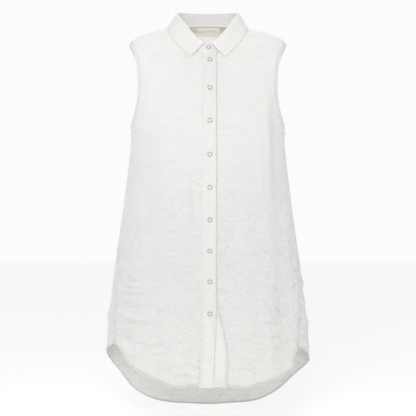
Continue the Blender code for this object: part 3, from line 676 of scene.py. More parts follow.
@dataclass
class Cloth:
    """A cloth piece: a thin shell on the outer face of its solid, with its creases pressed in.

    rounds is how often its facets are halved into smooth cloth, wall its thickness in millimetres, cut and
    cut_area the size and area of its flat cut in metres, and meets the nodes that its edges may lie on, or
    none for all of them. pressing deepens the creases and ripple the puckers beside its longest free edge.
    """

    name: str
    node: str
    side: Face
    finish: Linen | LabelTape
    slot: str
    rounds: int
    wall: float
    cut: Pair
    cut_area: float | None
    creases: Sequence[Crease] = ()
    meets: tuple[str, ...] = ()
    pressing: float = 3.1
    ripple: float = 0.0
    piece: bpy.types.Object | None = None
    surface: BVHTree | None = None
    edges: dict[str, list[EdgeRun]] = field(default_factory=dict)

    FACING = 0.75
    RIM_ANGLE = math.radians(62)
    QUAD_ANGLE = math.radians(70)
    PRESS_FROM = 0.12
    PRESS_SPAN = 0.5
    SEAM_REACH = 2.6 * MM
    RIPPLE_REACH = 22 * MM
    RIPPLE_FADE = 1.5
    SHORTEST_RUN = 8 * MM

    def outer_face(self) -> bmesh.types.BMesh:
        """Copies the solid and keeps only the outer side of its wall, as quads."""
        form = bmesh.new()
        form.from_mesh(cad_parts[self.node].data)
        bmesh.ops.remove_doubles(form, verts=form.verts, dist=WELD)
        form.normal_update()
        outward = self.side.outward
        facing = [face for face in form.faces if face.normal.dot(outward) > self.FACING]
        first = max(facing, key=lambda face: face.calc_center_median().dot(outward))
        kept, waiting = {first}, [first]
        while waiting:
            for edge in waiting.pop().edges:
                if len(edge.link_faces) == 2 and edge.calc_face_angle() < self.RIM_ANGLE:
                    fresh = [face for face in edge.link_faces if face not in kept]
                    kept.update(fresh)
                    waiting.extend(fresh)
        bmesh.ops.delete(form, geom=[face for face in form.faces if face not in kept], context="FACES")
        bmesh.ops.join_triangles(
            form, faces=form.faces, angle_face_threshold=self.QUAD_ANGLE, angle_shape_threshold=math.pi
        )
        return form

    def lay_flat(self) -> None:
        """Lays the cloth out flat for its weave, in metres, with its length upright."""
        mesh = self.piece.data
        bpy.ops.object.select_all(action="DESELECT")
        self.piece.select_set(True)
        bpy.context.view_layer.objects.active = self.piece
        mesh.uv_layers.new(name="flat_cut")
        bpy.ops.object.mode_set(mode="EDIT")
        bpy.ops.mesh.select_all(action="SELECT")
        bpy.ops.uv.unwrap(method="CONFORMAL", margin=0.0)
        bpy.ops.object.mode_set(mode="OBJECT")
        layout = mesh.uv_layers["flat_cut"].uv
        true, drawn, upright = 0.0, 0.0, np.zeros(2)
        for polygon in mesh.polygons:
            loops = list(polygon.loop_indices)
            for loop, following in zip(loops, loops[1:] + loops[:1]):
                start, end = (mesh.vertices[mesh.loops[index].vertex_index].co for index in (loop, following))
                step = np.array(layout[following].vector) - np.array(layout[loop].vector)
                true += (end - start).length
                drawn += float(np.linalg.norm(step))
                upright += step * (end.z - start.z)
        turn = math.pi / 2 - math.atan2(upright[1], upright[0])
        cos, sin = math.cos(turn), math.sin(turn)
        placed = np.array(((cos, -sin), (sin, cos))) * (true / drawn)
        for corner in layout:
            corner.vector = placed @ np.array(corner.vector)

    def smoothed(self) -> None:
        """Rounds the facets of the solid into smooth cloth."""
        soft = self.piece.modifiers.new("soft_cloth", "SUBSURF")
        soft.levels = soft.render_levels = self.rounds
        soft.boundary_smooth = "PRESERVE_CORNERS"
        applied(self.piece)

    def pressed(self) -> None:
        """Presses the creases into the cloth, each on its own side of the shirt."""
        mesh = self.piece.data
        places, normals = np.empty(len(mesh.vertices) * 3), np.empty(len(mesh.vertices) * 3)
        mesh.vertices.foreach_get("co", places)
        mesh.vertex_normals.foreach_get("vector", normals)
        places, normals = places.reshape(-1, 3), normals.reshape(-1, 3)
        rise = np.zeros(len(places))
        for side in Face:
            seen = np.clip((normals @ np.array(side.value[0]) - self.PRESS_FROM) / self.PRESS_SPAN, 0, 1)
            spots = places[:, (side.across, 2)] / MM
            for crease in self.creases:
                if crease.side is side:
                    rise += self.pressing * seen * crease.lift(spots)
        places += normals * rise[:, None] * MM
        mesh.vertices.foreach_set("co", places.ravel())
        mesh.update()

    def rippled(self) -> None:
        """Draws the cloth up into small uneven ripples beside its longest free edge."""
        run = max(self.edges["free"], key=lambda stretch: stretch.length)
        tree, lengths = run.tree, [0.0]
        for before, after in zip(run.points, run.points[1:]):
            lengths.append(lengths[-1] + (after - before).length / MM)
        moves = []
        for vertex in self.piece.data.vertices:
            _, index, away = tree.find(vertex.co)
            if away < self.RIPPLE_REACH:
                turns = math.tau * lengths[index]
                waves = sum(high * math.sin(turns / long + shift) for long, high, shift in HEM_RIPPLES)
                fade = (1 - away / self.RIPPLE_REACH) ** self.RIPPLE_FADE
                moves.append((vertex, vertex.normal * waves * self.ripple * fade * MM))
        for vertex, move in moves:
            vertex.co += move
        self.piece.data.update()

    def neighbours(self) -> dict[str, BVHTree]:
        """Reads the solids that an edge may lie on: those that it meets, or all but the buttons."""
        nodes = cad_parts
        names = self.meets or [n for n in nodes if n != self.node and not n.removeprefix("button_").isdigit()]
        return {name: tree_of(nodes[name].data) for name in names}

    def read_edges(self) -> None:
        """Reads the cloth's edges and names each stretch by the node that it meets, or free."""
        self.edges.clear()
        form = bmesh.new()
        form.from_mesh(self.piece.data)
        form.normal_update()
        others = self.neighbours()
        waiting = {edge for edge in form.edges if edge.is_boundary}
        while waiting:
            ring = self.walk(waiting)
            self.split(ring, [self.met(vertex.co, others) for vertex, _ in ring])
        form.free()

    @staticmethod
    def walk(waiting: set[bmesh.types.BMEdge]) -> list[tuple[bmesh.types.BMVert, bmesh.types.BMEdge]]:
        """Walks round one loop of edges and takes it out of those waiting."""
        edge = min(waiting, key=lambda e: e.index)
        vertex, ring = edge.verts[0], []
        while edge is not None:
            waiting.discard(edge)
            ring.append((vertex, edge))
            vertex = edge.other_vert(vertex)
            edge = next((e for e in vertex.link_edges if e in waiting), None)
        return ring

    def met(self, place: Vector, others: dict[str, BVHTree]) -> str:
        """Names the node nearest to a place on the edge, or free where none is close."""
        best, name = self.SEAM_REACH, "free"
        for other, tree in others.items():
            found = tree.find_nearest(place, best)
            if found[3] is not None and found[3] < best:
                best, name = found[3], other
        return name

    def split(self, ring: list[tuple[bmesh.types.BMVert, bmesh.types.BMEdge]], names: list[str]) -> None:
        """Cuts a loop where the neighbour changes, and keeps each stretch that isn't too short."""
        count = len(ring)
        cuts = [i for i in range(count) if names[i] != names[i - 1]] or [0]
        for start, end in zip(cuts, cuts[1:] + [cuts[0] + count]):
            run = EdgeRun()
            for index in range(start, end + 1):
                vertex, edge = ring[index % count]
                tangent = (edge.verts[1].co - edge.verts[0].co).normalized()
                middle = (edge.verts[0].co + edge.verts[1].co) / 2
                into = edge.link_faces[0].calc_center_median() - middle
                into = (into - tangent * into.dot(tangent)).normalized()
                run.add(vertex.co.copy(), vertex.normal.copy(), into)
            if run.length > self.SHORTEST_RUN:
                self.edges.setdefault(names[start % count], []).append(run)

    def declare(self, hangs_from: tuple[str, ...], trims: tuple[bpy.types.Object, ...] = ()) -> None:
        """Does nothing: the cut that the cloth was sewn from is not stated here.

        Args:
            hangs_from: the pieces that hold it; not used.
            trims: the strips and stitches that are on it; not used.
        """

    def build(self) -> None:
        """Makes the cloth piece from its solid, which it replaces."""
        mesh = mesh_of(self.outer_face(), self.name)
        self.piece = add_piece(self.name, mesh, self.finish.material())
        self.lay_flat()
        self.smoothed()
        self.pressed()
        self.read_edges()
        if self.ripple:
            self.rippled()
            self.read_edges()
        self.surface = tree_of(self.piece.data)
        walled(self.piece, self.wall, -1.0)
        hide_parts(self.node)


def trim(name: str, node: str, cut: Pair, area: float | None, wall: float = 1.0, **more: object) -> Cloth:
    """Plans a piece of doubled trim cloth on the front of the shirt.

    Args:
        name: the piece's name.
        node: the solid that it replaces.
        cut: the size of its flat cut, in metres.
        area: the cut's area, or none for a plain oblong.
        wall: its thickness in millimetres.
        more: its creases and the nodes that it meets.

    Returns:
        The cloth, ready to build.
    """
    return Cloth(name, node, Face.FRONT, LINEN_TRIM, "linen_trim", 3, wall, cut, area, **more)


@dataclass(frozen=True)
class StripPlace:
    """How a strip lies along an edge: from start to end into the cloth, lifted off it. Millimetres."""

    start: float
    end: float
    lift: float


@dataclass
class Sewing:
    """Rows of stitches and strips of cloth that follow an edge. Lengths are millimetres."""

    name: str
    length: float = 2.3
    gap: float = 0.7
    width: float = 0.55
    height: float = 0.34
    finish: SewingThread = THREAD
    thread: bmesh.types.BMesh = field(default_factory=bmesh.new)

    LOOP_CLEAR = 0.93
    WIDEST_STEP = 14 * MM
    TAPER = 0.35

    def inset(self, run: EdgeRun, depth: float, surface: BVHTree | None) -> EdgeRun:
        """Draws a line beside an edge, on the cloth.

        Args:
            run: the edge.
            depth: how far into the cloth the line lies; less than nothing is beyond the edge.
            surface: the cloth's outer face, or none to stay beside the edge in its own plane.

        Returns:
            The line, without the loops that it would make at a sharp corner.
        """
        tree, line = run.tree, EdgeRun()
        for point, normal, inward in zip(run.points, run.normals, run.inward):
            place = point + inward * depth * MM
            if abs(depth) > 1 and tree.find(place)[2] < self.LOOP_CLEAR * abs(depth) * MM:
                continue
            if surface is not None:
                found = surface.find_nearest(place)
                place, normal = found[0], found[1] if found[1].dot(normal) > 0 else -found[1]
            line.add(place, normal, inward)
        return line

    def even(self, run: EdgeRun, pitch: float) -> list[tuple[Vector, Vector, Vector]]:
        """Walks a line in even steps.

        Args:
            run: the line.
            pitch: the step, in metres.

        Returns:
            The place, direction and normal at each step.
        """
        steps, due, done = [], pitch / 2, 0.0
        for a, b, normal in zip(run.points, run.points[1:], run.normals):
            span = (b - a).length
            if span < 1e-7 or span > self.WIDEST_STEP:
                continue
            while due <= done + span:
                steps.append((a.lerp(b, (due - done) / span), (b - a) / span, normal))
                due += pitch
            done += span
        return steps

    def row(self, run: EdgeRun, depth: float, surface: BVHTree | None = None, lift: float = 0.12) -> None:
        """Sews a row of stitches beside an edge.

        Args:
            run: the edge.
            depth: how far into the cloth the row lies.
            surface: the cloth's outer face.
            lift: how far the middle of a stitch stands above the cloth.
        """
        for place, along, normal in self.even(self.inset(run, depth, surface), (self.length + self.gap) * MM):
            self.stitch(place + normal * lift * MM, along, normal)

    def both_rows(self, run: EdgeRun, depth: float, surface: BVHTree, under: float) -> None:
        """Sews a row that shows outside, and inside too at the lift that under gives."""
        self.row(run, depth, surface)
        self.row(run, depth, surface, under)

    def stitch(self, place: Vector, along: Vector, normal: Vector, length: float | None = None) -> None:
        """Adds one stitch: a short thread with its ends drawn into the cloth."""
        aside = normal.cross(along).normalized()
        turn = Matrix((along, aside, normal)).transposed().to_4x4()
        turn.translation = place
        size = Matrix.Diagonal(((length or self.length) * MM, self.width * MM, self.height * MM, 1.0))
        made = bmesh.ops.create_cube(self.thread, size=1.0, matrix=turn @ size)["verts"]
        for vertex in [v for v in made if (v.co - place).dot(normal) > 0]:
            for axis in (along, aside):
                vertex.co -= axis * (vertex.co - place).dot(axis) * self.TAPER

    def finished(self) -> bpy.types.Object:
        """Makes one piece of all the stitches."""
        mesh = mesh_of(self.thread, self.name)
        piece = add_piece(self.name, mesh, self.finish.material())
        shade(mesh, False)
        return piece

    def strip(
        self, name: str, runs: Sequence[tuple[EdgeRun, StripPlace]], wall: float = 0.35, columns: int = 4
    ) -> bpy.types.Object:
        """Sews a narrow strip of cloth along each edge.

        Args:
            name: the piece's name.
            runs: for each strip its edge and how it lies there.
            wall: its thickness.
            columns: how many strips of faces it has across.

        Returns:
            The finished piece.
        """
        form = bmesh.new()
        layout = form.loops.layers.uv.new("flat_cut")
        for run, lies in runs:
            pace = (lies.end - lies.start) / columns
            rail, laid, length = [], {}, 0.0
            for index, (point, normal, inward) in enumerate(zip(run.points, run.normals, run.inward)):
                length += (point - run.points[index - 1]).length if index else 0.0
                rail.append(form.verts.new(point + inward * lies.start * MM + normal * lies.lift * MM))
                laid[rail[-1]] = (lies.start * MM, length)
            line = [form.edges.new(pair) for pair in zip(rail, rail[1:])]
            faces = []
            for _ in range(columns):
                made = bmesh.ops.extrude_edge_only(form, edges=line)["geom"]
                fresh = {item for item in made if isinstance(item, bmesh.types.BMVert)}
                grown = [next(o for o in (e.other_vert(v) for e in v.link_edges) if o in fresh) for v in rail]
                for old, vertex, inward in zip(rail, grown, run.inward):
                    vertex.co += inward * pace * MM
                    laid[vertex] = (laid[old][0] + pace * MM, laid[old][1])
                faces += [item for item in made if isinstance(item, bmesh.types.BMFace)]
                edges = (item for item in made if isinstance(item, bmesh.types.BMEdge))
                line = [edge for edge in edges if set(edge.verts) <= fresh]
                rail = grown
            for face in faces:
                for loop in face.loops:
                    loop[layout].uv = laid[loop.vert]
        form.normal_update()
        piece = add_piece(name, mesh_of(form, name), FELL.material())
        walled(piece, wall, 0.0)
        return piece


@dataclass
class Studio:
    """The pale floor, the soft lights and the camera at the photo's viewing angle. Lengths are metres.

    The glows are the white room's strengths: far to the sides against the rest, in front of the shirt,
    behind it, and as the camera sees it. The shares say where on the way to the side, or from front to
    back, a glow starts and stops changing.
    """

    width_seen: float = 1.04
    distance: float = 3.0
    aside: float = 0.0006
    height: float = -0.455
    sensor: float = 36.0
    floor_gap: float = 0.034
    floor_half: float = 9.0
    floor_light: float = 0.145
    floor_pale: Triple = (0.78, 0.78, 0.78)
    floor_shade: Triple = (0.77, 0.77, 0.77)
    side_glow: float = 0.33
    front_glow: float = 0.64
    back_glow: float = 1.65
    seen_glow: float = 0.967
    side_shares: Pair = (0.25, 0.95)
    depth_shares: Pair = (-0.5, 0.5)
    key_place: Triple = (-0.26, -2.6, 0.42)
    key_aim: Triple = (0.0, 0.0, -0.4)
    key_size: float = 1.0
    key_power: float = 28.4
    top_from: Triple = (-0.03, -0.64, 0.77)
    top_strength: float = 0.06
    top_spread: float = 26.0

    def floor(self) -> None:
        """Lays the floor just under the back hem."""
        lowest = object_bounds()[0].z - self.floor_gap
        form = bmesh.new()
        bmesh.ops.create_grid(form, x_segments=2, y_segments=2, size=self.floor_half)
        bmesh.ops.translate(form, verts=form.verts, vec=(0, 0, lowest))
        mix = Recipe("pale_floor")
        patches = mix.noise(mix.place("Object"), (2, 2), 2.0)
        mix.set(Base_Color=mix.tint(patches, self.floor_pale, self.floor_shade), Roughness=0.9)
        mix.set(Emission_Color=(1.0, 1.0, 1.0, 1.0), Emission_Strength=self.floor_light)
        floor = linked("pale_floor", mesh_of(form, "pale_floor"))
        floor.data.materials.append(mix.material)
        floor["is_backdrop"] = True

    def room(self) -> None:
        """Surrounds the shirt with soft white light."""
        world = bpy.data.worlds.new("white_room")
        world.use_nodes = True
        tree = world.node_tree
        room = tree.nodes["Background"]
        room.inputs[0].default_value = (1.0, 1.0, 1.0, 1.0)
        gaze = tree.nodes.new("ShaderNodeSeparateXYZ")
        tree.links.new(tree.nodes.new("ShaderNodeTexCoord").outputs["Generated"], gaze.inputs[0])
        aside, glow = tree.nodes.new("ShaderNodeMath"), tree.nodes.new("ShaderNodeMath")
        aside.operation, glow.operation = "ABSOLUTE", "MULTIPLY"
        tree.links.new(gaze.outputs[0], aside.inputs[0])
        changes = (
            (aside.outputs[0], *self.side_shares, 1.0, self.side_glow),
            (gaze.outputs[1], *self.depth_shares, self.front_glow, self.back_glow),
        )
        for slot, (source, *values) in enumerate(changes):
            span = tree.nodes.new("ShaderNodeMapRange")
            span.interpolation_type = "SMOOTHSTEP"
            for index, value in enumerate(values, 1):
                span.inputs[index].default_value = value
            tree.links.new(source, span.inputs[0])
            tree.links.new(span.outputs[0], glow.inputs[slot])
        shown = tree.nodes.new("ShaderNodeMix")
        shown.inputs["B"].default_value = self.seen_glow
        tree.links.new(tree.nodes.new("ShaderNodeLightPath").outputs["Is Camera Ray"], shown.inputs["Factor"])
        tree.links.new(glow.outputs[0], shown.inputs["A"])
        tree.links.new(shown.outputs["Result"], room.inputs[1])
        bpy.context.scene.world = world

    def lamp(self, data: bpy.types.Light, toward: Vector, place: Triple = (0.0, 0.0, 0.0)) -> None:
        """Hangs a light.

        Args:
            data: the light.
            toward: the direction that it shines in.
            place: where it hangs, which a far light doesn't need.
        """
        lamp = linked(data.name, data)
        lamp.location = place
        lamp.rotation_euler = toward.to_track_quat("-Z", "Y").to_euler()

    def lamps(self) -> None:
        """Hangs the square soft box that faces the chest and the broad far light above."""
        key = bpy.data.lights.new("key_light", "AREA")
        key.energy, key.size = self.key_power, self.key_size
        self.lamp(key, Vector(self.key_aim) - Vector(self.key_place), self.key_place)
        top = bpy.data.lights.new("top_light", "SUN")
        top.energy, top.angle = self.top_strength * math.pi, math.radians(self.top_spread)
        self.lamp(top, -Vector(self.top_from))

    def camera(self) -> None:
        """Sets the camera level in front of the middle of the shirt."""
        data = bpy.data.cameras.new("photo_camera")
        data.sensor_width = self.sensor
        data.lens = self.sensor * self.distance / self.width_seen
        camera = linked("photo_camera", data)
        camera.location = (self.aside, -self.distance, self.height)
        camera.rotation_euler = (math.pi / 2, 0, 0)
        bpy.context.scene.camera = camera

    def build(self) -> None:
        """Lights the room and sets the camera."""
        self.floor()
        self.room()
        bpy.context.scene.view_settings.view_transform = "Standard"
        self.lamps()
        self.camera()


@dataclass
class Panels:
    """The two fronts and the back, joined at the sides and shoulders and turned up at the hem.

    Lengths are millimetres. hem_row is how far a hem's stitches lie inside its fold, and each under how far
    the inner stitches lie below the outer face. Tacks close the lower ends of the side seams, and nubs their
    ends at the underarms. foot_below, underarm_below, underarm_out and shortest_hem are in metres, and tell
    these ends and the hems from other edges.
    """

    front_hem: float = 6.4
    back_hem: float = 3.4
    hem_start: float = 0.2
    hem_row: float = 0.8
    hem_under: float = -1.4
    seam_row: float = 1.6
    seam_under: float = -1.45
    inside: float = -1.1
    fell: StripPlace = StripPlace(-5.0, 5.0, -1.1)
    filler: StripPlace = StripPlace(-0.9, 0.6, -0.3)
    shortest_hem: float = 0.1
    tack_rows: int = 6
    tack_pitch: float = 1.1
    tack_lift: float = 0.1
    foot_below: float = -0.5
    nub_rows: int = 4
    nub_start: float = 0.5
    nub_length: float = 6.0
    nub_lift: float = 1.2
    underarm_below: float = -0.2
    underarm_out: float = 0.15
    right: Cloth = field(
        default_factory=lambda: Cloth(
            "right_front_panel", "front_right", Face.FRONT, LINEN, "linen", 3, 0.9, (0.30, 0.89), 0.187,
            RIGHT_FRONT_CREASES, ripple=1.0,
        )
    )
    left: Cloth = field(
        default_factory=lambda: Cloth(
            "left_front_panel", "front_left", Face.FRONT, LINEN, "linen", 3, 0.9, (0.29, 0.89), 0.178,
            LEFT_FRONT_CREASES, ripple=1.0,
        )
    )
    back: Cloth = field(
        default_factory=lambda: Cloth(
            "back_panel", "back", Face.BACK, LINEN, "linen", 2, 0.9, (0.68, 0.985), 0.52,
            BACK_CREASES, ripple=1.2,
        )
    )

    def tack(self, tacks: Sewing, run: EdgeRun) -> None:
        """Tacks the lower end of a side seam and its end at the underarm."""
        places = range(len(run.points))
        foot = min(places, key=lambda index: run.points[index].z)
        if run.points[foot].z < self.foot_below:
            normal = run.normals[foot]
            for row in range(self.tack_rows):
                place = run.points[foot] + Vector((0, 0, MM * (1 + self.tack_pitch * row)))
                tacks.stitch(place + normal * self.tack_lift * MM, run.inward[foot], normal)
        head = max(places, key=lambda index: run.points[index].z)
        if abs(run.points[head].x) > self.underarm_out and run.points[head].z < self.underarm_below:
            normal = run.normals[head]
            for row in range(self.nub_rows):
                place = run.points[head] - Vector((0, 0, MM * (self.nub_start + row)))
                tacks.stitch(place + normal * self.nub_lift * MM, normal, Vector((0, 0, 1)), self.nub_length)

    def build(self) -> None:
        """Makes the three panels, the felled seams inside and the turned hems."""
        panels = (self.right, self.left, self.back)
        for panel in panels:
            panel.build()
        sewing = Sewing("panel_stitching")
        seams = [run for node in ("front_right", "front_left") for run in self.back.edges.get(node, ())]
        strips = [(run, place) for place in (self.fell, self.filler) for run in seams]
        fells = sewing.strip("side_and_shoulder_seam_strips", strips)
        hems = [
            (panel, run, self.back_hem if panel is self.back else self.front_hem)
            for panel in panels
            for run in panel.edges.get("free", ())
            if run.length > self.shortest_hem
        ]
        turned = sewing.strip(
            "turned_hems", [(run, StripPlace(self.hem_start, depth, self.inside)) for _, run, depth in hems]
        )
        for panel, run, depth in hems:
            sewing.both_rows(run, depth - self.hem_row, panel.surface, self.hem_under)
        for run in seams:
            sewing.both_rows(run, self.seam_row, self.back.surface, self.seam_under)
        thread = sewing.finished()
        tacks = Sewing("side_seam_tacks", length=9.0, gap=0.2, width=0.7, height=0.6, finish=ECRU)
        for run in seams:
            self.tack(tacks, run)
        self.right.declare(("back_panel", "placket_strip"))
        self.left.declare(("back_panel", "button_strip"))
        self.back.declare(("collar_stand_band",), (fells, turned, thread, tacks.finished()))


@dataclass
class Bands:
    """The placket and the button band down the front, with their seams and topstitching.

    Lengths are millimetres. long_seam, shortest_seam and the places that tell one edge from another are
    metres in the shirt's frame, and so is the stitched box at the foot of the under band: left, right, low
    and high.
    """

    placket: Cloth = field(
        default_factory=lambda: trim("placket_strip", "placket", (0.0312, 0.83), None, creases=BAND_CREASES)
    )
    under: Cloth = field(default_factory=lambda: trim("button_strip", "button_band", (0.0305, 0.825), None))
    seam_row: float = 1.8
    edge_row: float = 7.3
    allowance: StripPlace = StripPlace(-4.0, 5.0, -1.75)
    welt: StripPlace = StripPlace(-2.0, 0.8, -0.56)
    welt_wall: float = 0.3
    under_allowance: StripPlace = StripPlace(-4.0, 5.0, -1.6)
    under_filler: StripPlace = StripPlace(-0.9, 0.6, -0.3)
    long_seam: float = 0.3
    shortest_seam: float = 0.1
    under_right_of: float = 0.012
    edge_right_of: float = 0.008
    lap_right_of: float = 0.015
    lap_above: float = -0.9
    lap_row: float = -0.15
    lap_lift: float = -0.6
    swing_top: float = -0.72
    fewest_points: int = 8
    box: tuple[float, float, float, float] = (0.0185, 0.0335, -0.879, -0.866)
    box_pitch: float = 2.8

    def row_where(
        self, sewing: Sewing, run: EdgeRun, test: Callable[[Vector], bool], depth: float, *onto: object
    ) -> None:
        """Sews a row along part of an edge, unless that is only a few points long.

        Args:
            sewing: the thread.
            run: the edge.
            test: whether a place on the edge is in that part.
            depth: how far into the cloth the row lies.
            onto: the cloth's outer face and the lift of the stitches, as for any row.
        """
        part = run.chosen(test)
        if len(part.points) > self.fewest_points:
            sewing.row(part, depth, *onto)

    def sew_box(self, thread: Sewing) -> None:
        """Sews the crossed box at the foot of the under band."""
        left, right, low, high = self.box
        corners = [Vector((x, -1.0, z)) for x, z in ((left, low), (right, low), (right, high), (left, high))]
        ends = ((0, 1), (1, 2), (2, 3), (3, 0), (0, 2), (1, 3))
        for start, end in ((corners[first], corners[last]) for first, last in ends):
            count = round((end - start).length / (self.box_pitch * MM))
            for step in range(count):
                found = self.under.surface.ray_cast(start.lerp(end, (step + 0.5) / count), Vector((0, 1, 0)))
                if found[0] is not None:
                    normal = found[1] if found[1].y < 0 else -found[1]
                    thread.stitch(found[0], (end - start).normalized(), normal)

    def build(self) -> None:
        """Makes the two bands and sews them."""
        self.placket.build()
        self.under.build()
        sewing = Sewing("placket_stitching")
        seams = [run for run in self.placket.edges.get("front_right", ()) if run.length > self.long_seam]
        welt = sewing.strip("placket_seam_welt", [(run, self.welt) for run in seams], self.welt_wall)
        under_seams = [
            run
            for name in ("front_left", "free")
            for run in self.under.edges.get(name, ())
            if run.length > self.shortest_seam and run.points[len(run.points) // 2].x > self.under_right_of
        ]
        strips = [(run, self.allowance) for run in seams]
        strips += [(run, place) for place in (self.under_allowance, self.under_filler) for run in under_seams]
        allowance = sewing.strip("band_seam_strips", strips)
        for run in seams:
            sewing.row(run, self.seam_row, self.placket.surface)
        for name in ("front_left", "button_band", "free"):
            for run in self.placket.edges.get(name, ()):
                self.row_where(
                    sewing, run, lambda at: at.x > self.edge_right_of, self.edge_row, self.placket.surface
                )
        for run in under_seams:
            self.row_where(sewing, run, lambda at: at.z < self.swing_top, self.seam_row, self.under.surface)
        thread = sewing.finished()
        ecru = Sewing("band_box_thread", length=2.6, gap=0.1, width=0.55, height=0.5, finish=ECRU)
        # painted shade: a deep ecru thread along the placket's overlap edge stands for the shadow line under
        # that edge
        lap = Sewing("placket_lap_edge_painted_shade", length=2.7, gap=0.0, width=0.6, height=0.6, finish=LAP_EDGE_SHADE)
        for run in (run for runs in self.placket.edges.values() for run in runs):
            self.row_where(
                lap, run, lambda at: at.x > self.lap_right_of and at.z > self.lap_above, self.lap_row,
                None, self.lap_lift,
            )
        self.sew_box(ecru)
        trims = (allowance, welt, thread, ecru.finished(), lap.finished())
        self.placket.declare(("right_front_panel",), trims)
        self.under.declare(("left_front_panel",))


@dataclass
class Collar:
    """The stand and the turned-down leaf, topstitched along their edges.

    Lengths are millimetres, apart from the shortest edges that are sewn, which are metres.
    """

    stand: Cloth = field(
        default_factory=lambda: trim("collar_stand_band", "collar_stand", (0.43, 0.036), 0.0122)
    )
    leaf: Cloth = field(
        default_factory=lambda: trim(
            "collar_leaf", "collar_fall", (0.47, 0.07), 0.028, 1.1,
            creases=LEAF_CREASES, meets=("collar_stand",),
        )
    )
    leaf_row: float = 5.0
    edge_row: float = -0.05
    edge_lift: float = -0.7
    stand_row: float = 1.6
    stand_under: float = -1.15
    allowance: StripPlace = StripPlace(-4.0, 3.0, -1.3)
    filler: StripPlace = StripPlace(-1.1, 0.6, -0.35)
    leaf_filler: StripPlace = StripPlace(-1.8, 0.8, -0.4)
    shortest_leaf_edge: float = 0.05
    shortest_seam: float = 0.02

    def build(self) -> None:
        """Makes the stand and the leaf and sews them."""
        self.stand.build()
        self.leaf.build()
        sewing = Sewing("collar_stitching")
        # painted shade: an ecru thread laid along the leaf's free edge stands for the beige shade at that
        # edge
        ecru = Sewing("leaf_edge_painted_shade", length=2.6, gap=0.1, width=0.5, height=0.5, finish=ECRU)
        for run in self.leaf.edges.get("free", ()):
            if run.length > self.shortest_leaf_edge:
                sewing.row(run, self.leaf_row, self.leaf.surface)
                ecru.row(run, self.edge_row, None, self.edge_lift)
        neck = []
        for name in ("front_left", "front_right", "back", "placket", "button_band", "free"):
            for run in self.stand.edges.get(name, ()):
                sewing.row(run, self.stand_row, self.stand.surface)
                if name != "free" and run.length > self.shortest_seam:
                    sewing.row(run, self.stand_row, self.stand.surface, self.stand_under)
                    neck += [(run, self.allowance), (run, self.filler)]
        neck += [(run, self.leaf_filler) for run in self.stand.edges.get("collar_fall", ())]
        strip = sewing.strip("neck_seam_strip", neck)
        thread = sewing.finished()
        self.stand.declare(("back_panel", "right_front_panel", "left_front_panel"), (strip, thread))
        self.leaf.declare(("collar_stand_band",), (ecru.finished(),))


@dataclass
class ArmholeBindings:
    """The narrow binding round each armhole, folded to the inside. Lengths are millimetres."""

    row: float = 1.3
    under: float = -1.9
    inner: StripPlace = StripPlace(-2.0, 6.4, -1.55)
    filler: StripPlace = StripPlace(-0.9, 0.6, -0.65)
    inner_wall: float = 0.45
    inner_columns: int = 6

    def build(self) -> None:
        """Makes both bindings, their inner halves and their stitching."""
        for side in ("right", "left"):
            outer = trim(f"{side}_armhole_binding", f"armhole_binding_{side}", (0.57, 0.01), 0.0041)
            outer.build()
            sewing = Sewing(f"{side}_armhole_stitching")
            joined = [run for name in (f"front_{side}", "back") for run in outer.edges.get(name, ())]
            strips = [(run, place) for place in (self.inner, self.filler) for run in joined]
            inner = sewing.strip(f"{side}_armhole_inner_binding", strips, self.inner_wall, self.inner_columns)
            for run in joined:
                sewing.both_rows(run, self.row, outer.surface, self.under)
            outer.declare((f"{side}_front_panel", "back_panel"), (inner, sewing.finished()))


@dataclass
class NeckLabels:
    """The bare label and size tab inside the back neck, sewn at their edges. Lengths are millimetres."""

    label: Cloth = field(
        default_factory=lambda: Cloth(
            "neck_label_tape", "neck_label", Face.FRONT, TAPE, "label", 3, 0.7, (0.059, 0.022), None,
            (
                Crease((-30, -9), (30, -7), 5.0, 0.35, FOLD, bow=2),
                Crease((-12, 4), (-8, -20), 6.0, 0.3, RIDGE),
            ),
        )
    )
    tab: Cloth = field(
        default_factory=lambda: Cloth(
            "size_label_tape", "size_tab", Face.FRONT, TAPE, "label", 3, 0.6, (0.0165, 0.018), None
        )
    )
    row: float = 1.4
    row_lift: float = 0.05

    def build(self) -> None:
        """Makes the label and the tab and sews them on."""
        sewing = Sewing("label_stitching", length=1.6, width=0.4)
        for cloth in (self.label, self.tab):
            cloth.build()
            for run in (run for runs in cloth.edges.values() for run in runs):
                sewing.row(run, self.row, cloth.surface, self.row_lift)
        self.label.declare(("back_panel",), (sewing.finished(),))
        self.tab.declare(("neck_label_tape",))


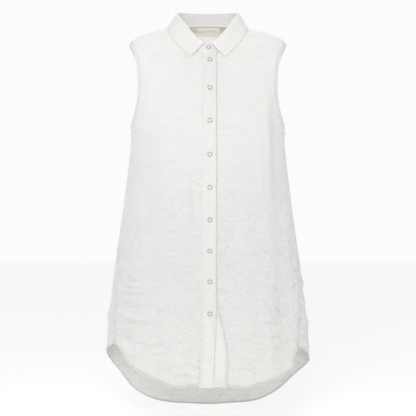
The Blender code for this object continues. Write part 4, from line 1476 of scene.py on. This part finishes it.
@dataclass
class Buttons:
    """Ten four-hole buttons, each dished, sewn on with thread, and its bound buttonhole.

    Lengths are millimetres. profile gives the radius and height of each point from the middle of the face,
    over the rim, to the middle of the base.
    """

    nodes: tuple[str, ...] = tuple(f"button_{number:02d}" for number in range(1, 11))
    profile: tuple[Pair, ...] = (
        (0.0, 0.95), (2.3, 0.95), (2.9, 1.05), (3.5, 1.5), (4.1, 1.8), (4.7, 1.85), (5.2, 1.7),
        (5.6, 1.25), (5.72, 0.8), (5.5, 0.35), (4.6, 0.05), (0.0, 0.0),
    )
    steps: int = 40
    rim_from: float = 3.6
    rounding: float = 0.08
    drill_radius: float = 0.55
    drill_place: float = 1.15
    drill_depth: float = 6.0
    drill_sides: int = 14
    thread_height: float = 1.02
    hole_length: float = 15.0
    hole_pitch: float = 0.55
    hole_half: float = 1.05
    hole_sink: float = 0.25

    FACING_FRONT = -0.8

    def seat(self, node: str) -> Matrix:
        """Reads where a button lies: its local z points out of the shirt and its base is at z 0."""
        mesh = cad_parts[node].data
        outward = Vector((0, 0, 0))
        for polygon in mesh.polygons:
            if polygon.normal.y < self.FACING_FRONT:
                outward += polygon.normal * polygon.area
        outward.normalize()
        points = [vertex.co for vertex in mesh.vertices]
        centre = sum(points, Vector()) / len(points)
        low = min((point - centre).dot(outward) for point in points)
        aside = Vector((1, 0, 0))
        aside = (aside - outward * aside.dot(outward)).normalized()
        place = Matrix((aside, outward.cross(aside), outward)).transposed().to_4x4()
        place.translation = centre + outward * low
        return place

    def turned(self) -> bpy.types.Mesh:
        """Turns one button on a lathe."""
        form = bmesh.new()
        points = [form.verts.new((radius * MM, 0, height * MM)) for radius, height in self.profile]
        edges = [form.edges.new(pair) for pair in zip(points, points[1:])]
        bmesh.ops.spin(
            form, geom=points + edges, cent=(0, 0, 0), axis=(0, 0, 1), angle=math.tau, steps=self.steps,
            use_merge=True,
        )
        bmesh.ops.remove_doubles(form, verts=form.verts, dist=WELD)
        bmesh.ops.recalc_face_normals(form, faces=form.faces)
        return mesh_of(form, "button_blank")

    def drilled(self, mesh: bpy.types.Mesh) -> bpy.types.Mesh:
        """Drills the four holes and returns the new mesh."""
        button = linked("button_blank", mesh)
        form = bmesh.new()
        for across in (-self.drill_place, self.drill_place):
            for along in (-self.drill_place, self.drill_place):
                bmesh.ops.create_cone(
                    form, cap_ends=True, segments=self.drill_sides, radius1=self.drill_radius * MM,
                    radius2=self.drill_radius * MM, depth=self.drill_depth * MM,
                    matrix=Matrix.Translation((across * MM, along * MM, 0)),
                )
        drill = linked("button_drill", mesh_of(form, "button_drill"))
        cut = button.modifiers.new("holes", "BOOLEAN")
        cut.operation, cut.solver, cut.object = "DIFFERENCE", "EXACT", drill
        applied(button)
        finished = button.data
        bpy.data.objects.remove(button)
        bpy.data.objects.remove(drill)
        return finished

    def button(self, node: str, place: Matrix, blank: bpy.types.Mesh, rim: bpy.types.Material) -> None:
        """Sets one button on its seat, its rim given a darker grey that is painted shade.

        Args:
            node: the solid that it replaces.
            place: its seat.
            blank: the drilled button, with its finish.
            rim: the rim's finish, a darker grey that is painted shade.
        """
        mesh = blank.copy()
        mesh.transform(place)
        piece = add_piece(f"shirt_{node}", mesh, blank.materials[0])
        mesh.materials.append(rim)
        # painted shade: faces beyond rim_from take the darker grey rim finish
        for polygon in mesh.polygons:
            flat = place.inverted() @ polygon.center
            polygon.material_index = int(math.hypot(flat.x, flat.y) > self.rim_from * MM)
        edges = piece.modifiers.new("soft_edge", "BEVEL")
        edges.width, edges.segments, edges.limit_method = self.rounding * MM, 2, "ANGLE"
        applied(piece)
        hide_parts(node)

    def buttonhole(self, holes: Sewing, base: Vector, slot: Vector, bar: Vector, out: Vector) -> None:
        """Binds a buttonhole with close stitches along both its sides.

        Args:
            holes: the thread.
            base: the hole's middle.
            slot: the direction that the hole runs in.
            bar: the direction across it.
            out: the direction out of the cloth.
        """
        count = int(self.hole_length / self.hole_pitch)
        for index in range(count + 1):
            spot = (index / count - 0.5) * self.hole_length * MM
            for edge in (-self.hole_half, self.hole_half):
                holes.stitch(base + slot * spot + bar * edge * MM, bar, out)

    def build(self) -> None:
        """Makes the buttons, their thread and their buttonholes."""
        blank = self.turned()
        blank.materials.append(SHELL.material())
        blank = self.drilled(blank)
        rim = RIM_SHADE.material()
        sewing = Sewing("button_thread", length=2.9, width=0.62, height=0.5)
        holes = Sewing("buttonholes", length=1.5, width=0.5, height=0.4)
        for node in self.nodes:
            place = self.seat(node)
            self.button(node, place, blank, rim)
            out, across, along = (place.to_3x3() @ Vector(axis) for axis in ((0, 0, 1), (1, 0, 0), (0, 1, 0)))
            for offset in (-self.drill_place, self.drill_place):
                sewing.stitch(place @ Vector((offset * MM, 0, self.thread_height * MM)), along, out)
            slot, bar = (across, along) if node == self.nodes[0] else (along, across)
            self.buttonhole(holes, place.translation - out * self.hole_sink * MM, slot, bar, out)
        sewing.finished()
        holes.finished()


def main() -> None:
    """Builds the shirt's pieces in order and sets up the studio."""
    logging.basicConfig(level=logging.INFO, format="%(name)s: %(message)s")
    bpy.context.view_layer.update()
    for assembly in (Panels(), Bands(), Collar(), ArmholeBindings(), NeckLabels(), Buttons(), Studio()):
        assembly.build()
        log.info("%s is done", type(assembly).__name__)


if __name__ == "__main__":
    main()
